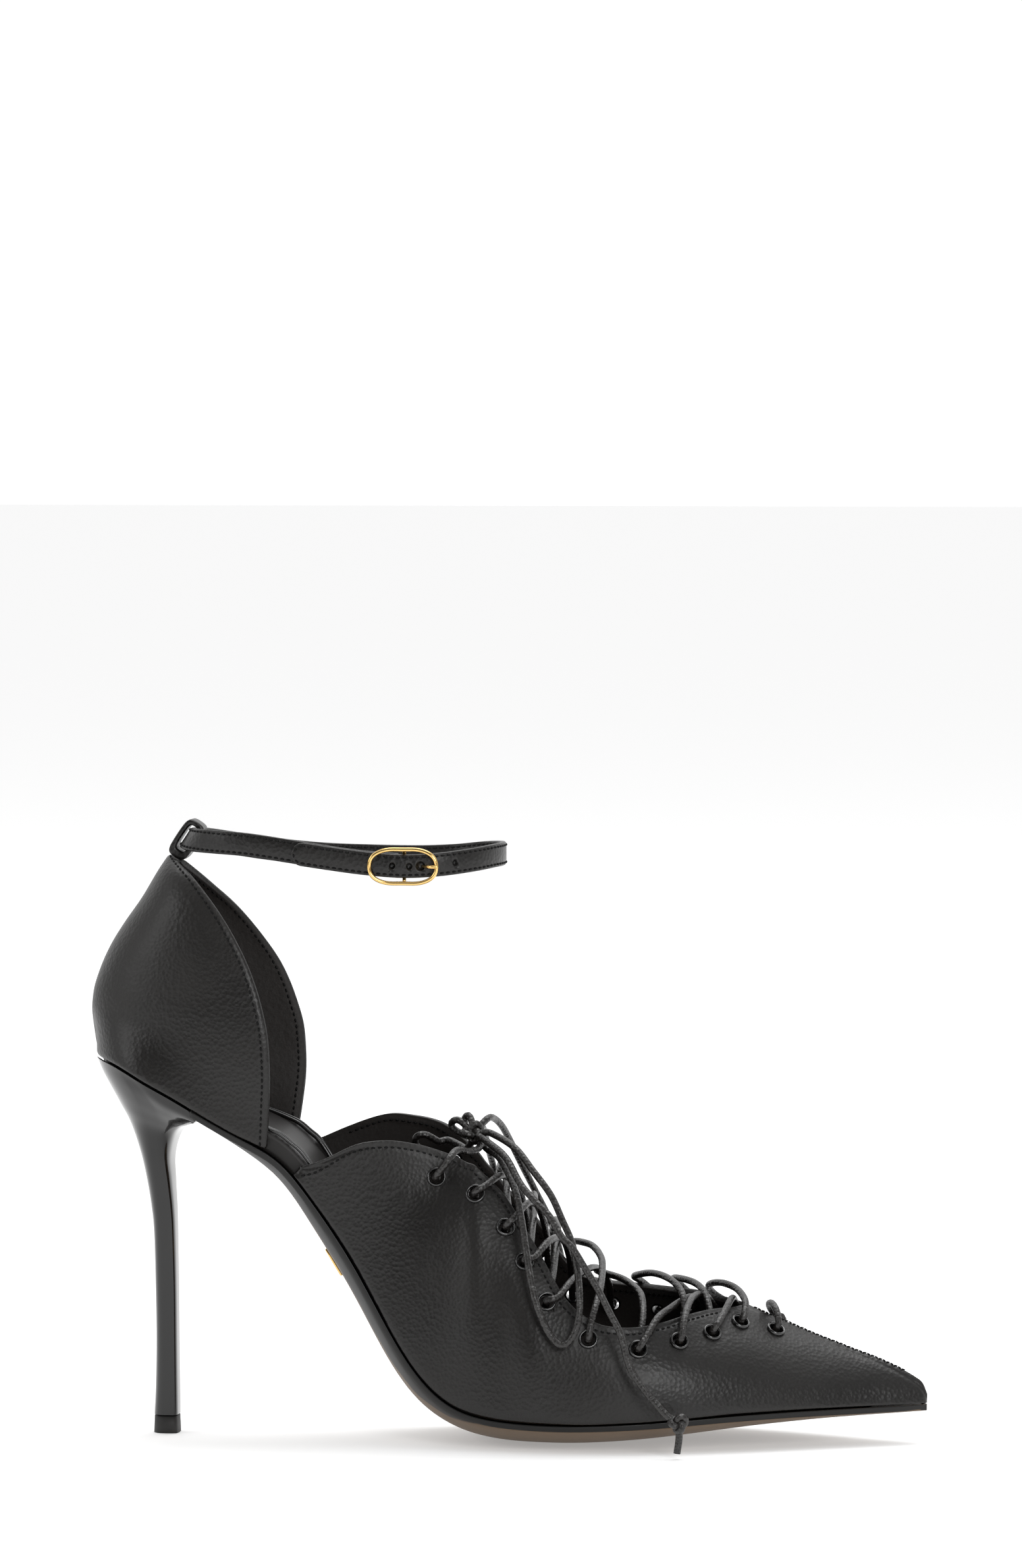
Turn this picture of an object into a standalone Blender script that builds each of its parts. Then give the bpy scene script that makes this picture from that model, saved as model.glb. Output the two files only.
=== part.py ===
"""Lace up heel, right foot: a pointed court shoe on a tall slim heel.

The shoe stands on the floor plane, +X to the toe, +Z up, the outer side at -Y.
The origin is under the heel's stem, on the floor face of the top piece.
Every section is worked out from the sizes below: the tables hold shares of them.
"""

import math

import bmesh
import bpy
import numpy as np
from mathutils import Vector

# Last and main form
SHOE_LENGTH = 0.2377
BACK_OVERHANG = 0.0220
HEEL_HEIGHT = 0.1077
BALL_WIDTH = 0.0770
BALL_SEAT = 0.0078
TOE_SPRING = 0.0033
INSTEP_HEIGHT = 0.0820
COUNTER_HEIGHT = 0.0566
COUNTER_WIDTH = 0.0265

# Walls, soles and fits
UPPER_WALL = 0.0018
FIT_GAP = 0.0003
SOLE_EDGE = 0.0016
SOLE_CENTRE = 0.0042
SOLE_DISH = 0.0036
SOLE_ARCH = 0.0012
SOLE_TREAD = 0.0008
INSOLE_THICKNESS = 0.0024
INSOLE_WAIST_EXTRA = 0.0030
TOE_STIFFENER = 0.0070

# Heel
TOP_PIECE_HEIGHT = 0.0050
STEM_LENGTH = 0.0071
STEM_WIDTH = 0.0092
STEM_BACK = 0.0045
TIP_FLARE = 0.0002
BREAST_ALONG = 0.131

# Ankle strap, its loop and its buckle
STRAP_WIDTH = 0.0066
STRAP_THICKNESS = 0.0018
STRAP_AHEAD = 0.0055
STRAP_RISE = 0.0048
STRAP_REACH = 0.0896
STRAP_SPREAD = 0.0225
STRAP_SAG = 0.0062
STRAP_LEAN = 34.0
STRAP_CORNER = 0.0004
LOOP_WIDTH = 0.0080
LOOP_THICKNESS = 0.0014
LOOP_EASE = 0.0008
LOOP_FOOT = 0.0009
BUCKLE_LENGTH = 0.0204
BUCKLE_HEIGHT = 0.0114
BUCKLE_WIRE = 0.0013
BUCKLE_BOW = 0.0007
BUCKLE_SHARE = 0.72
PRONG_WIRE = 0.0010
PRONG_HOLE = 0.0026
PRONG_AHEAD = 0.0056

# Eyelets, lace and sole plate
EYELET_BORE = 0.0038
EYELET_RIM = 0.0055
EYELET_BARREL = 0.0002
EYELET_PROUD = 0.0010
LACE_WIDTH = 0.0020
PLATE_LENGTH = 0.0090
PLATE_WIDTH = 0.0060
PLATE_THICKNESS = 0.0007
PLATE_SINK = 0.0005
PLATE_ALONG = 0.2945

LAST_COLUMNS = ("along", "rise", "spring", "lateral", "medial", "dish")
LAST = (
    (0.006, 1.000, 0.00, 0.318, 0.312, 0.00),
    (0.034, 0.983, 0.00, 0.322, 0.316, 0.00),
    (0.084, 0.925, 0.00, 0.325, 0.318, 0.00),
    (0.110, 0.892, 0.00, 0.329, 0.322, 0.00),
    (0.151, 0.835, 0.00, 0.332, 0.322, 0.08),
    (0.185, 0.790, 0.00, 0.332, 0.317, 0.20),
    (0.227, 0.742, 0.00, 0.327, 0.305, 0.45),
    (0.252, 0.688, 0.00, 0.322, 0.293, 0.70),
    (0.278, 0.605, 0.00, 0.318, 0.280, 0.92),
    (0.303, 0.521, 0.00, 0.316, 0.272, 1.08),
    (0.328, 0.428, 0.00, 0.319, 0.270, 1.20),
    (0.353, 0.320, 0.00, 0.329, 0.277, 1.25),
    (0.379, 0.210, 0.00, 0.350, 0.293, 1.25),
    (0.404, 0.126, 0.00, 0.374, 0.317, 1.20),
    (0.429, 0.068, 0.00, 0.398, 0.345, 1.12),
    (0.454, 0.033, 0.00, 0.424, 0.377, 1.06),
    (0.480, 0.015, 0.00, 0.447, 0.409, 1.02),
    (0.513, 0.005, 0.00, 0.473, 0.448, 1.00),
    (0.555, 0.001, 0.00, 0.495, 0.484, 1.00),
    (0.597, 0.000, 0.00, 0.501, 0.499, 0.96),
    (0.661, 0.000, 0.15, 0.483, 0.494, 0.86),
    (0.724, 0.000, 0.45, 0.434, 0.452, 0.76),
    (0.787, 0.000, 0.76, 0.353, 0.371, 0.62),
    (0.871, 0.000, 0.91, 0.221, 0.234, 0.42),
    (0.934, 0.000, 0.94, 0.119, 0.127, 0.26),
    (0.968, 0.000, 0.97, 0.069, 0.073, 0.14),
    (0.984, 0.000, 1.00, 0.044, 0.047, 0.08),
    (0.993, 0.000, 1.00, 0.029, 0.030, 0.04),
    (0.997, 0.000, 1.00, 0.017, 0.018, 0.02),
    (1.000, 0.000, 1.00, 0.006, 0.006, 0.00),
)

VAMP_COLUMNS = ("along", "tilt", "crest", "lateral_cut", "medial_cut")
VAMP = (
    (0.255, 45.0, 0.756, 0.050, 0.220),
    (0.278, 37.0, 0.780, 0.310, 0.410),
    (0.303, 31.0, 0.805, 0.450, 0.515),
    (0.328, 26.0, 0.829, 0.555, 0.610),
    (0.353, 20.0, 0.866, 0.650, 0.690),
    (0.379, 15.0, 0.915, 0.730, 0.745),
    (0.404, 10.0, 0.963, 0.780, 0.775),
    (0.429, 6.0, 0.994, 0.805, 0.785),
    (0.454, 3.0, 1.000, 0.830, 0.775),
    (0.475, 1.0, 0.976, 0.840, 0.770),
    (0.492, 0.0, 0.927, 0.860, 0.770),
    (0.507, 0.0, 0.884, 0.857, 0.762),
    (0.520, 0.0, 0.841, 0.840, 0.757),
    (0.534, 0.0, 0.793, 0.815, 0.730),
    (0.547, 0.0, 0.756, 0.785, 0.680),
    (0.560, 0.0, 0.720, 0.740, 0.645),
    (0.572, 0.0, 0.683, 0.695, 0.635),
    (0.585, 0.0, 0.650, 0.650, 0.650),
    (0.602, 0.0, 0.612, 0.617, 0.675),
    (0.623, 0.0, 0.567, 0.604, 0.720),
    (0.648, 0.0, 0.522, 0.624, 0.770),
    (0.673, 0.0, 0.483, 0.670, 0.820),
    (0.698, 0.0, 0.448, 0.740, 0.870),
    (0.724, 0.0, 0.415, 0.830, 0.925),
    (0.749, 0.0, 0.383, 0.910, 0.965),
    (0.770, 0.0, 0.361, 0.955, 0.985),
    (0.787, 0.0, 0.339, 1.000, 1.000),
    (0.808, 0.0, 0.310, 1.000, 1.000),
    (0.829, 0.0, 0.284, 1.000, 1.000),
    (0.850, 0.0, 0.256, 1.000, 1.000),
    (0.871, 0.0, 0.230, 1.000, 1.000),
    (0.892, 0.0, 0.207, 1.000, 1.000),
    (0.913, 0.0, 0.183, 1.000, 1.000),
    (0.934, 0.0, 0.161, 1.000, 1.000),
    (0.955, 0.0, 0.135, 1.000, 1.000),
    (0.972, 0.0, 0.111, 1.000, 1.000),
    (0.984, 0.0, 0.090, 1.000, 1.000),
    (0.993, 0.0, 0.071, 1.000, 1.000),
    (0.997, 0.0, 0.048, 1.000, 1.000),
    (0.999, 0.0, 0.027, 1.000, 1.000),
)

# Rise above the seat's back as a share of the counter's height, edges as shares of
# the shoe's length, half width as a share of the counter's half width.
QUARTER_COLUMNS = (
    "row", "back_rise", "back", "lateral_rise", "lateral", "medial_rise", "medial",
    "width",
)
QUARTER = (
    (0.0, 0.000, 0.006, -0.437, 0.226, -0.437, 0.233, 0.962),
    (1.0, 0.111, 0.002, -0.260, 0.228, -0.260, 0.239, 0.992),
    (2.0, 0.217, 0.000, -0.083, 0.230, -0.083, 0.243, 1.000),
    (3.0, 0.314, 0.002, 0.094, 0.228, 0.085, 0.241, 0.992),
    (4.0, 0.426, 0.010, 0.261, 0.220, 0.253, 0.231, 0.966),
    (5.0, 0.546, 0.023, 0.438, 0.206, 0.420, 0.215, 0.928),
    (6.0, 0.666, 0.041, 0.613, 0.185, 0.581, 0.190, 0.868),
    (7.0, 0.783, 0.061, 0.774, 0.159, 0.726, 0.162, 0.774),
    (8.0, 0.917, 0.080, 0.913, 0.129, 0.853, 0.132, 0.566),
    (9.0, 1.000, 0.093, 0.988, 0.103, 0.970, 0.105, 0.226),
)

# Heel rings: height and place of the back, height and place of the front, half width
# and corner. Heights are shares of the heel's height, places of the shoe's length,
# half widths of the stem's width.
HEEL = (
    (0.962, 0.0130, 0.846, 0.126, 2.45, 0.90),
    (0.925, 0.0230, 0.824, 0.114, 2.01, 0.85),
    (0.877, 0.0345, 0.801, 0.102, 1.52, 0.78),
    (0.823, 0.0467, 0.768, 0.096, 1.15, 0.70),
    (0.746, 0.0581, 0.720, 0.0955, 0.87, 0.60),
    (0.670, 0.0656, 0.664, 0.098, 0.70, 0.52),
    (0.598, 0.0707, 0.596, 0.100, 0.59, 0.46),
    (0.529, 0.0736, 0.529, 0.101, 0.53, 0.42),
    (0.390, 0.0753, 0.390, 0.102, 0.48, 0.40),
    (0.251, 0.0761, 0.251, 0.1025, 0.47, 0.40),
    (0.127, 0.0753, 0.127, 0.103, 0.48, 0.40),
)


def column(table, names, name):
    """A smooth function through one column of a table, over its first column."""
    rows = np.array(table, dtype=float)
    at = rows[:, 0]
    values = rows[:, names.index(name)]
    step = np.diff(at)
    slope = np.diff(values) / step
    tangent = np.zeros_like(values)
    tangent[0] = slope[0]
    tangent[-1] = slope[-1]
    for i in range(1, len(at) - 1):
        if slope[i - 1] * slope[i] > 0.0:
            early = 2.0 * step[i] + step[i - 1]
            late = step[i] + 2.0 * step[i - 1]
            tangent[i] = (early + late) / (early / slope[i - 1] + late / slope[i])

    def value(where):
        i = min(max(int(np.searchsorted(at, where)) - 1, 0), len(step) - 1)
        t = min(max((where - at[i]) / step[i], 0.0), 1.0)
        h = step[i]
        return (
            values[i] * (1 + 2 * t) * (1 - t) ** 2
            + tangent[i] * h * t * (1 - t) ** 2
            + values[i + 1] * t * t * (3 - 2 * t)
            + tangent[i + 1] * h * t * t * (t - 1)
        )

    return value


last = {name: column(LAST, LAST_COLUMNS, name) for name in LAST_COLUMNS[1:]}
vamp = {name: column(VAMP, VAMP_COLUMNS, name) for name in VAMP_COLUMNS[1:]}
quarter = {name: column(QUARTER, QUARTER_COLUMNS, name) for name in QUARTER_COLUMNS[1:]}

LATERAL = -1
MEDIAL = 1


def place(along):
    """Distance in front of the origin of a share of the shoe's length."""
    return along * SHOE_LENGTH - BACK_OVERHANG


def feather_height(along):
    """Height of the line where the upper meets the sole."""
    climb = last["rise"](along) * (HEEL_HEIGHT - BALL_SEAT)
    return BALL_SEAT + climb + last["spring"](along) * TOE_SPRING


def stretch(along):
    """How much longer an upright measure is than one square to the sloping sole."""
    step = 0.004
    climb = feather_height(along + step) - feather_height(along - step)
    return math.hypot(1.0, climb / (2.0 * step * SHOE_LENGTH))


def half_width(along, side):
    """Half width of the last's bottom, rounded off behind the heel."""
    name = "lateral" if side == LATERAL else "medial"
    start = LAST[0][0]
    reach = 0.085
    inward = min(max((along - start) / reach, 0.0), 1.0)
    rounding = math.sqrt(1.0 - (1.0 - inward) ** 2)
    return last[name](along) * BALL_WIDTH * rounding


def seat_height(along, y):
    """Top of the sole at a distance y from its middle, dished under the ball."""
    wide = max(half_width(along, LATERAL if y < 0.0 else MEDIAL), 0.0004)
    across = min(abs(y) / wide, 1.0)
    sag = last["dish"](along) * SOLE_DISH * (1.0 - across * across)
    return feather_height(along) - sag


def blend(low, high, where):
    """Smooth step from 0 at low to 1 at high, or back where low is the larger."""
    t = min(max((where - low) / (high - low), 0.0), 1.0)
    return t * t * (3.0 - 2.0 * t)


def vamp_section(along, side):
    """Sizes of one vamp section: foot, direction, crest and rounding."""
    tilt = math.radians(vamp["tilt"](along))
    crest = vamp["crest"](along) * INSTEP_HEIGHT
    name = "lateral_cut" if side == LATERAL else "medial_cut"
    cut = min(vamp[name](along), 1.0)
    fullness = 2.2 - 0.6 * blend(0.60, 0.92, along)
    ridge = 2.2 - 0.9 * blend(0.62, 0.90, along)
    top = math.asin(cut ** (fullness / 2.0))
    return tilt, crest, top, fullness, ridge


def vamp_point(along, side, climb):
    """A point of the vamp's outer face: climb is 0 at the sole, 1 at the topline."""
    tilt, crest, top, fullness, ridge = vamp_section(along, side)
    turn = top * climb
    swell = 1.0 + 0.045 * math.sin(2.0 * turn)
    out = half_width(along, side) * max(math.cos(turn), 0.0) ** (2.0 / ridge) * swell
    up = crest * math.sin(turn) ** (2.0 / fullness) if turn > 0.0 else 0.0
    x = place(along) + up * math.sin(tilt)
    z = feather_height(along) + FIT_GAP * stretch(along) + up * math.cos(tilt)
    return Vector((x, side * out, z))


def material(name, colour, roughness, metallic=0.0):
    """A Principled material of one colour."""
    made = bpy.data.materials.new(name)
    made.use_nodes = True
    shader = made.node_tree.nodes["Principled BSDF"]
    shader.inputs["Base Color"].default_value = (*colour, 1.0)
    shader.inputs["Roughness"].default_value = roughness
    shader.inputs["Metallic"].default_value = metallic
    made.diffuse_color = (*colour, 1.0)
    return made


def add_mesh(name, points, faces, look, sharp=40.0):
    """One object from points and faces, shaded smooth up to an angle."""
    mesh = bpy.data.meshes.new(name)
    mesh.from_pydata([tuple(p) for p in points], [], faces)
    work = bmesh.new()
    work.from_mesh(mesh)
    bmesh.ops.remove_doubles(work, verts=work.verts, dist=1e-6)
    bmesh.ops.recalc_face_normals(work, faces=work.faces)
    if work.calc_volume(signed=True) < 0.0:
        bmesh.ops.reverse_faces(work, faces=work.faces)
    work.to_mesh(mesh)
    work.free()
    mesh.shade_smooth()
    mesh.set_sharp_from_angle(angle=math.radians(sharp))
    mesh.materials.append(look)
    made = bpy.data.objects.new(name, mesh)
    bpy.context.collection.objects.link(made)
    return made


def face_normals(points, faces):
    """Area-weighted normals of the points of a sheet."""
    normals = [Vector((0.0, 0.0, 0.0)) for _ in points]
    for face in faces:
        loop = [Vector(points[i]) for i in face]
        area = Vector((0.0, 0.0, 0.0))
        for i, corner in enumerate(loop):
            area += corner.cross(loop[(i + 1) % len(loop)])
        for i in face:
            normals[i] += area
    return [n.normalized() for n in normals]


def walled(outer, inner, faces):
    """Close an outer sheet and its inner twin into one wall."""
    count = len(outer)
    used = {}
    for face in faces:
        for i, a in enumerate(face):
            b = face[(i + 1) % len(face)]
            used[(a, b)] = True
    both = list(outer) + list(inner)
    closed = [tuple(f) for f in faces]
    closed += [tuple(count + i for i in reversed(f)) for f in faces]
    for a, b in used:
        if (b, a) not in used:
            closed.append((b, a, count + a, count + b))
    return both, closed


def sheet_faces(rows, columns, start=0):
    """Quads of a grid of rows by columns."""
    faces = []
    for i in range(rows - 1):
        for j in range(columns - 1):
            a = start + i * columns + j
            faces.append((a, a + 1, a + columns + 1, a + columns))
    return faces


VAMP_CLIMBS = 8
THROAT_END = 0.787


def vamp_sheet(stations):
    """Points and faces of the vamp's face over a list of stations."""
    rows = len(stations)
    climbs = [(j / (VAMP_CLIMBS - 1)) ** 0.9 for j in range(VAMP_CLIMBS)]
    points = []
    for side in (LATERAL, MEDIAL):
        for along in stations:
            points += [vamp_point(along, side, c) for c in climbs]
    half = rows * VAMP_CLIMBS
    outer = sheet_faces(rows, VAMP_CLIMBS)
    inner = [tuple(reversed(f)) for f in sheet_faces(rows, VAMP_CLIMBS, half)]
    shared = {}
    for i, _ in enumerate(stations):
        if i >= CLOSED_FROM:
            crest = i * VAMP_CLIMBS + VAMP_CLIMBS - 1
            shared[half + crest] = crest
    end = (rows - 1) * VAMP_CLIMBS
    cap = []
    for j in range(VAMP_CLIMBS - 1):
        cap.append((end + j, end + j + 1, half + end + j + 1, half + end + j))
    faces = []
    for face in outer + inner + cap:
        joined = [shared.get(i, i) for i in face]
        lean = tuple(dict.fromkeys(joined))
        faces.append(lean)
    return points, faces


VAMP_STATIONS = [row[0] for row in VAMP]
CLOSED_FROM = VAMP_STATIONS.index(THROAT_END)


def make_vamp(look):
    """The forepart: one wall, thicker at the stiffened toe."""
    hollow_end = 1.0 - TOE_STIFFENER / SHOE_LENGTH
    toe_start = 0.913
    stations = VAMP_STATIONS
    inner_stations = []
    for along in stations:
        past = max(along - toe_start, 0.0)
        squeeze = (hollow_end - toe_start) / (stations[-1] - toe_start)
        inner_stations.append(min(along, toe_start) + past * squeeze)
    outer, faces = vamp_sheet(stations)
    middle, _ = vamp_sheet(inner_stations)
    normals = face_normals(middle, faces)
    inner = []
    for i, point in enumerate(middle):
        moved = point + normals[i] * UPPER_WALL
        if i % VAMP_CLIMBS == 0:
            moved.z = point.z
        inner.append(moved)
    points, closed = walled(outer, inner, faces)
    used = sorted({i for f in closed for i in f})
    number = {old: new for new, old in enumerate(used)}
    points = [points[i] for i in used]
    closed = [tuple(number[i] for i in f) for f in closed]
    return add_mesh("vamp", points, closed, look)


def quarter_point(row, side, turn):
    """A point of the quarter: row climbs from 0 to 9, turn is 0 at the back."""
    name = "lateral" if side == LATERAL else "medial"
    back = quarter["back"](row)
    back_rise = quarter["back_rise"](row)
    roundness = 2.0 / 2.3
    forward = 1.0 - max(math.cos(turn), 0.0) ** roundness
    outward = math.sin(turn) ** roundness if turn > 0.0 else 0.0
    along = back + (quarter[name](row) - back) * forward
    upper = quarter["width"](row) * COUNTER_WIDTH * outward
    lower = half_width(along, side)
    y = lower + (upper - lower) * blend(0.0, 2.5, row)
    level = back_rise + (quarter[name + "_rise"](row) - back_rise) * forward
    base = HEEL_HEIGHT + quarter["lateral_rise"](0.0) * forward * COUNTER_HEIGHT
    onto_seat = (feather_height(along) - base) * (1.0 - blend(0.0, 3.0, row))
    z = HEEL_HEIGHT + level * COUNTER_HEIGHT + onto_seat + FIT_GAP * stretch(along)
    return Vector((place(along), side * y, z))


QUARTER_TURNS = 9


def make_quarter(look):
    """The counter with its high back, one wall open in front and below."""
    turns = [math.pi / 2 * i / (QUARTER_TURNS - 1) for i in range(QUARTER_TURNS)]
    around = [(LATERAL, t) for t in reversed(turns)] + [(MEDIAL, t) for t in turns[1:]]
    rows = [i * 0.75 for i in range(13)]
    outer = [quarter_point(r, side, t) for r in rows for side, t in around]
    faces = sheet_faces(len(rows), len(around))
    normals = face_normals(outer, faces)
    inner = []
    for i, point in enumerate(outer):
        moved = point + normals[i] * UPPER_WALL
        if i < len(around):
            moved.z = point.z
        inner.append(moved)
    points, closed = walled(outer, inner, faces)
    return add_mesh("quarter", points, closed, look)


def slab(name, stations, across, top, bottom, look):
    """A sole-like plate between two height functions over stations and shares across."""
    points = []
    for level in (top, bottom):
        for along in stations:
            for share_across in across:
                points.append(level(along, share_across))
    columns = len(across)
    upper = sheet_faces(len(stations), columns)
    half = len(stations) * columns
    lower = [tuple(reversed([i + half for i in f])) for f in upper]
    faces = upper + lower
    used = {}
    for face in upper:
        for i, a in enumerate(face):
            used[(a, face[(i + 1) % len(face)])] = True
    for a, b in used:
        if (b, a) not in used:
            faces.append((b, a, a + half, b + half))
    return add_mesh(name, points, faces, look, 50.0)


ACROSS = (-1.0, -0.93, -0.68, -0.34, 0.0, 0.34, 0.68, 0.93, 1.0)


def seat_point(along, across, inset, lift):
    """A point over the sole's plan: across runs from -1, outer edge, to 1, inner."""
    side = LATERAL if across < 0.0 else MEDIAL
    step = 0.002
    run = half_width(along + step, side) - half_width(along - step, side)
    lean = math.hypot(1.0, run / (2.0 * step * SHOE_LENGTH))
    y = across * max(half_width(along, side) - inset * lean, 0.0004)
    return Vector((place(along), y, seat_height(along, y) + lift * stretch(along)))


def make_outsole(look):
    """The leather sole: thin at its edge, flat on the floor under the ball."""
    start = BREAST_ALONG + FIT_GAP / SHOE_LENGTH
    steps = [row[0] for row in LAST if row[0] > start + 0.01]
    stations = [start] + steps[:-1] + [0.9985]

    def top(along, across):
        return seat_point(along, across, FIT_GAP, 0.0)

    def bottom(along, across):
        arch = SOLE_ARCH * blend(0.14, 0.27, along) * blend(0.50, 0.34, along)
        seat = 1.0 - 0.7 * blend(0.24, 0.14, along)
        toe = 1.0 - 0.9 * blend(0.66, 0.95, along)
        tread = SOLE_TREAD * blend(0.42, 0.51, along) * blend(0.72, 0.60, along)
        swell = (SOLE_CENTRE - SOLE_EDGE) * seat * toe * (1.0 - across ** 4)
        swell += tread * (1.0 - across ** 4)
        swell += arch * (1.0 - across * across)
        point = seat_point(along, across, 3.0 * FIT_GAP, -SOLE_EDGE - swell)
        point.z = max(point.z, 0.0)
        return point

    return slab("outsole", stations, ACROSS, top, bottom, look)


def make_insole(look):
    """The covered footbed, inside the upper and deeper at the open waist."""
    heel_part = [0.022, 0.034, 0.050, 0.067, 0.084, 0.097, 0.110, 0.124]
    stations = heel_part + [row[0] for row in LAST if 0.14 < row[0] < 0.96]

    def inset(along):
        toe = 0.0014 * blend(0.74, 0.90, along)
        return UPPER_WALL + 3.0 * FIT_GAP + toe

    def bottom(along, across):
        return seat_point(along, across, inset(along) + FIT_GAP, FIT_GAP)

    def top(along, across):
        waist = blend(0.10, 0.22, along) * (1.0 - blend(0.27, 0.42, along))
        thick = INSOLE_THICKNESS + INSOLE_WAIST_EXTRA * waist
        rounding = 0.0006 * across ** 8
        return seat_point(along, across, inset(along), FIT_GAP + thick - rounding)

    return slab("insole", stations, ACROSS, top, bottom, look)


RING_HALF = 9


def ring(back, front, width, corner, height):
    """A D-shaped ring: round at the back, flat in front, in lateral to medial pairs."""
    points = []
    for side in (LATERAL, MEDIAL):
        for i in range(RING_HALF):
            turn = math.pi * i / (RING_HALF - 1)
            swing = math.cos(turn)
            power = 1.0 if swing > 0.0 else corner
            reach = abs(swing) ** power
            centre = back + (front - back) * 0.5
            half = (front - back) * 0.5
            x = centre - half * math.copysign(reach, swing)
            y = side * width * math.sin(turn) ** (0.9 if swing > 0.0 else corner)
            points.append(Vector((x, y, height(x))))
    return points


def ring_stack(name, rings, look):
    """A closed loft through D-shaped rings, capped by strips between the sides."""
    points = [p for r in rings for p in r]
    size = 2 * RING_HALF
    faces = []
    for k in range(len(rings) - 1):
        low = k * size
        high = (k + 1) * size
        for j in range(RING_HALF - 1):
            faces.append((low + j, low + j + 1, high + j + 1, high + j))
            m = RING_HALF
            faces.append((low + m + j + 1, low + m + j, high + m + j, high + m + j + 1))
    for k in (0, len(rings) - 1):
        low = k * size
        for j in range(RING_HALF - 1):
            faces.append((low + j, low + j + 1, low + RING_HALF + j + 1, low + RING_HALF + j))
    return add_mesh(name, points, faces, look, 35.0)


def make_heel(look):
    """The heel, from the seat's own outline down to the slim D-shaped stem."""
    top = []
    start = LAST[0][0] + 0.0015
    for side in (LATERAL, MEDIAL):
        for i in range(RING_HALF):
            t = i / (RING_HALF - 1)
            along = start + (BREAST_ALONG - start) * (1.0 - math.cos(t * math.pi / 2)) ** 1.3
            wide = (half_width(along, side) - 2.0 * FIT_GAP) if i else 0.0
            if i == RING_HALF - 1:
                wide = 0.0
            edge = side * wide
            top.append(Vector((place(along), edge, seat_height(along, edge) - FIT_GAP)))
    rings = [top]
    for row in HEEL:
        back_height, back, front_height, front, width, corner = row

        def height(x, row=row):
            a, b = place(row[1]), place(row[3])
            t = (x - a) / (b - a)
            return (row[0] + (row[2] - row[0]) * t) * HEEL_HEIGHT

        rings.append(ring(place(back), place(front), width * STEM_WIDTH, corner, height))
    tip = TOP_PIECE_HEIGHT + FIT_GAP
    front = STEM_LENGTH - STEM_BACK
    rings.append(ring(-STEM_BACK, front, 0.5 * STEM_WIDTH, 0.4, lambda x: tip))
    return ring_stack("heel", rings, look)


def make_top_piece(look):
    """The tip under the heel, a little flared to the floor."""
    back = -STEM_BACK
    front = back + STEM_LENGTH
    half = 0.5 * STEM_WIDTH
    upper = ring(back, front, half, 0.4, lambda x: TOP_PIECE_HEIGHT)
    lower = ring(back - TIP_FLARE, front + TIP_FLARE, half + TIP_FLARE, 0.4, lambda x: 0.0)
    return ring_stack("top_piece", [upper, lower], look)


# Strap: reach forward, spread to the side, drop and lap over itself, as shares
STRAP = (
    (0.698, -0.99, 0.96, 0.0),
    (0.560, -0.99, 0.80, 0.0),
    (0.390, -0.98, 0.45, 0.0),
    (0.225, -0.91, 0.12, 0.0),
    (0.098, -0.72, 0.02, 0.0),
    (0.022, -0.40, 0.00, 0.0),
    (0.000, 0.00, 0.00, 0.0),
    (0.022, 0.40, 0.10, 0.0),
    (0.098, 0.72, 0.34, 0.0),
    (0.225, 0.92, 0.66, 0.0),
    (0.390, 0.99, 0.90, 0.0),
    (0.550, 1.00, 0.98, 0.0),
    (0.700, 0.99, 1.00, 0.0),
    (0.820, 0.92, 0.92, 0.0),
    (0.920, 0.70, 0.74, 0.0),
    (0.982, 0.36, 0.64, 0.0),
    (1.000, 0.00, 0.62, 0.2),
    (0.982, -0.36, 0.64, 0.5),
    (0.925, -0.70, 0.76, 0.8),
    (0.830, -0.93, 0.92, 1.0),
    (0.720, -0.98, 1.00, 1.0),
    (0.600, -0.99, 0.88, 1.0),
    (0.480, -0.99, 0.66, 1.0),
    (0.365, -0.98, 0.42, 1.0),
)


def smooth_route(points, spacing):
    """Evenly spread points along a smooth curve through the route's own points."""
    route = [Vector(p) for p in points]
    ends = [route[0] * 2.0 - route[1]] + route + [route[-1] * 2.0 - route[-2]]
    fine = []
    for i in range(len(route) - 1):
        a, b, c, d = ends[i:i + 4]
        for j in range(12):
            t = j / 12.0
            fine.append(
                0.5 * (2.0 * b + (c - a) * t + (2.0 * a - 5.0 * b + 4.0 * c - d) * t * t
                       + (3.0 * b - a - 3.0 * c + d) * t ** 3)
            )
    fine.append(route[-1])
    lengths = [0.0]
    for i in range(1, len(fine)):
        lengths.append(lengths[-1] + (fine[i] - fine[i - 1]).length)
    count = max(int(round(lengths[-1] / spacing)), 2)
    even = []
    for i in range(count + 1):
        want = lengths[-1] * i / count
        k = min(int(np.searchsorted(lengths, want)), len(fine) - 1)
        k = max(k, 1)
        t = (want - lengths[k - 1]) / (lengths[k] - lengths[k - 1])
        even.append(fine[k - 1].lerp(fine[k], t))
    return even


STRAP_STEP = 0.0048


def strap_seat():
    """Middle of the strap where it passes through the back loop."""
    height = HEEL_HEIGHT + COUNTER_HEIGHT + STRAP_RISE
    return Vector((place(QUARTER[-1][2]) + STRAP_AHEAD, 0.0, height))


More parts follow.
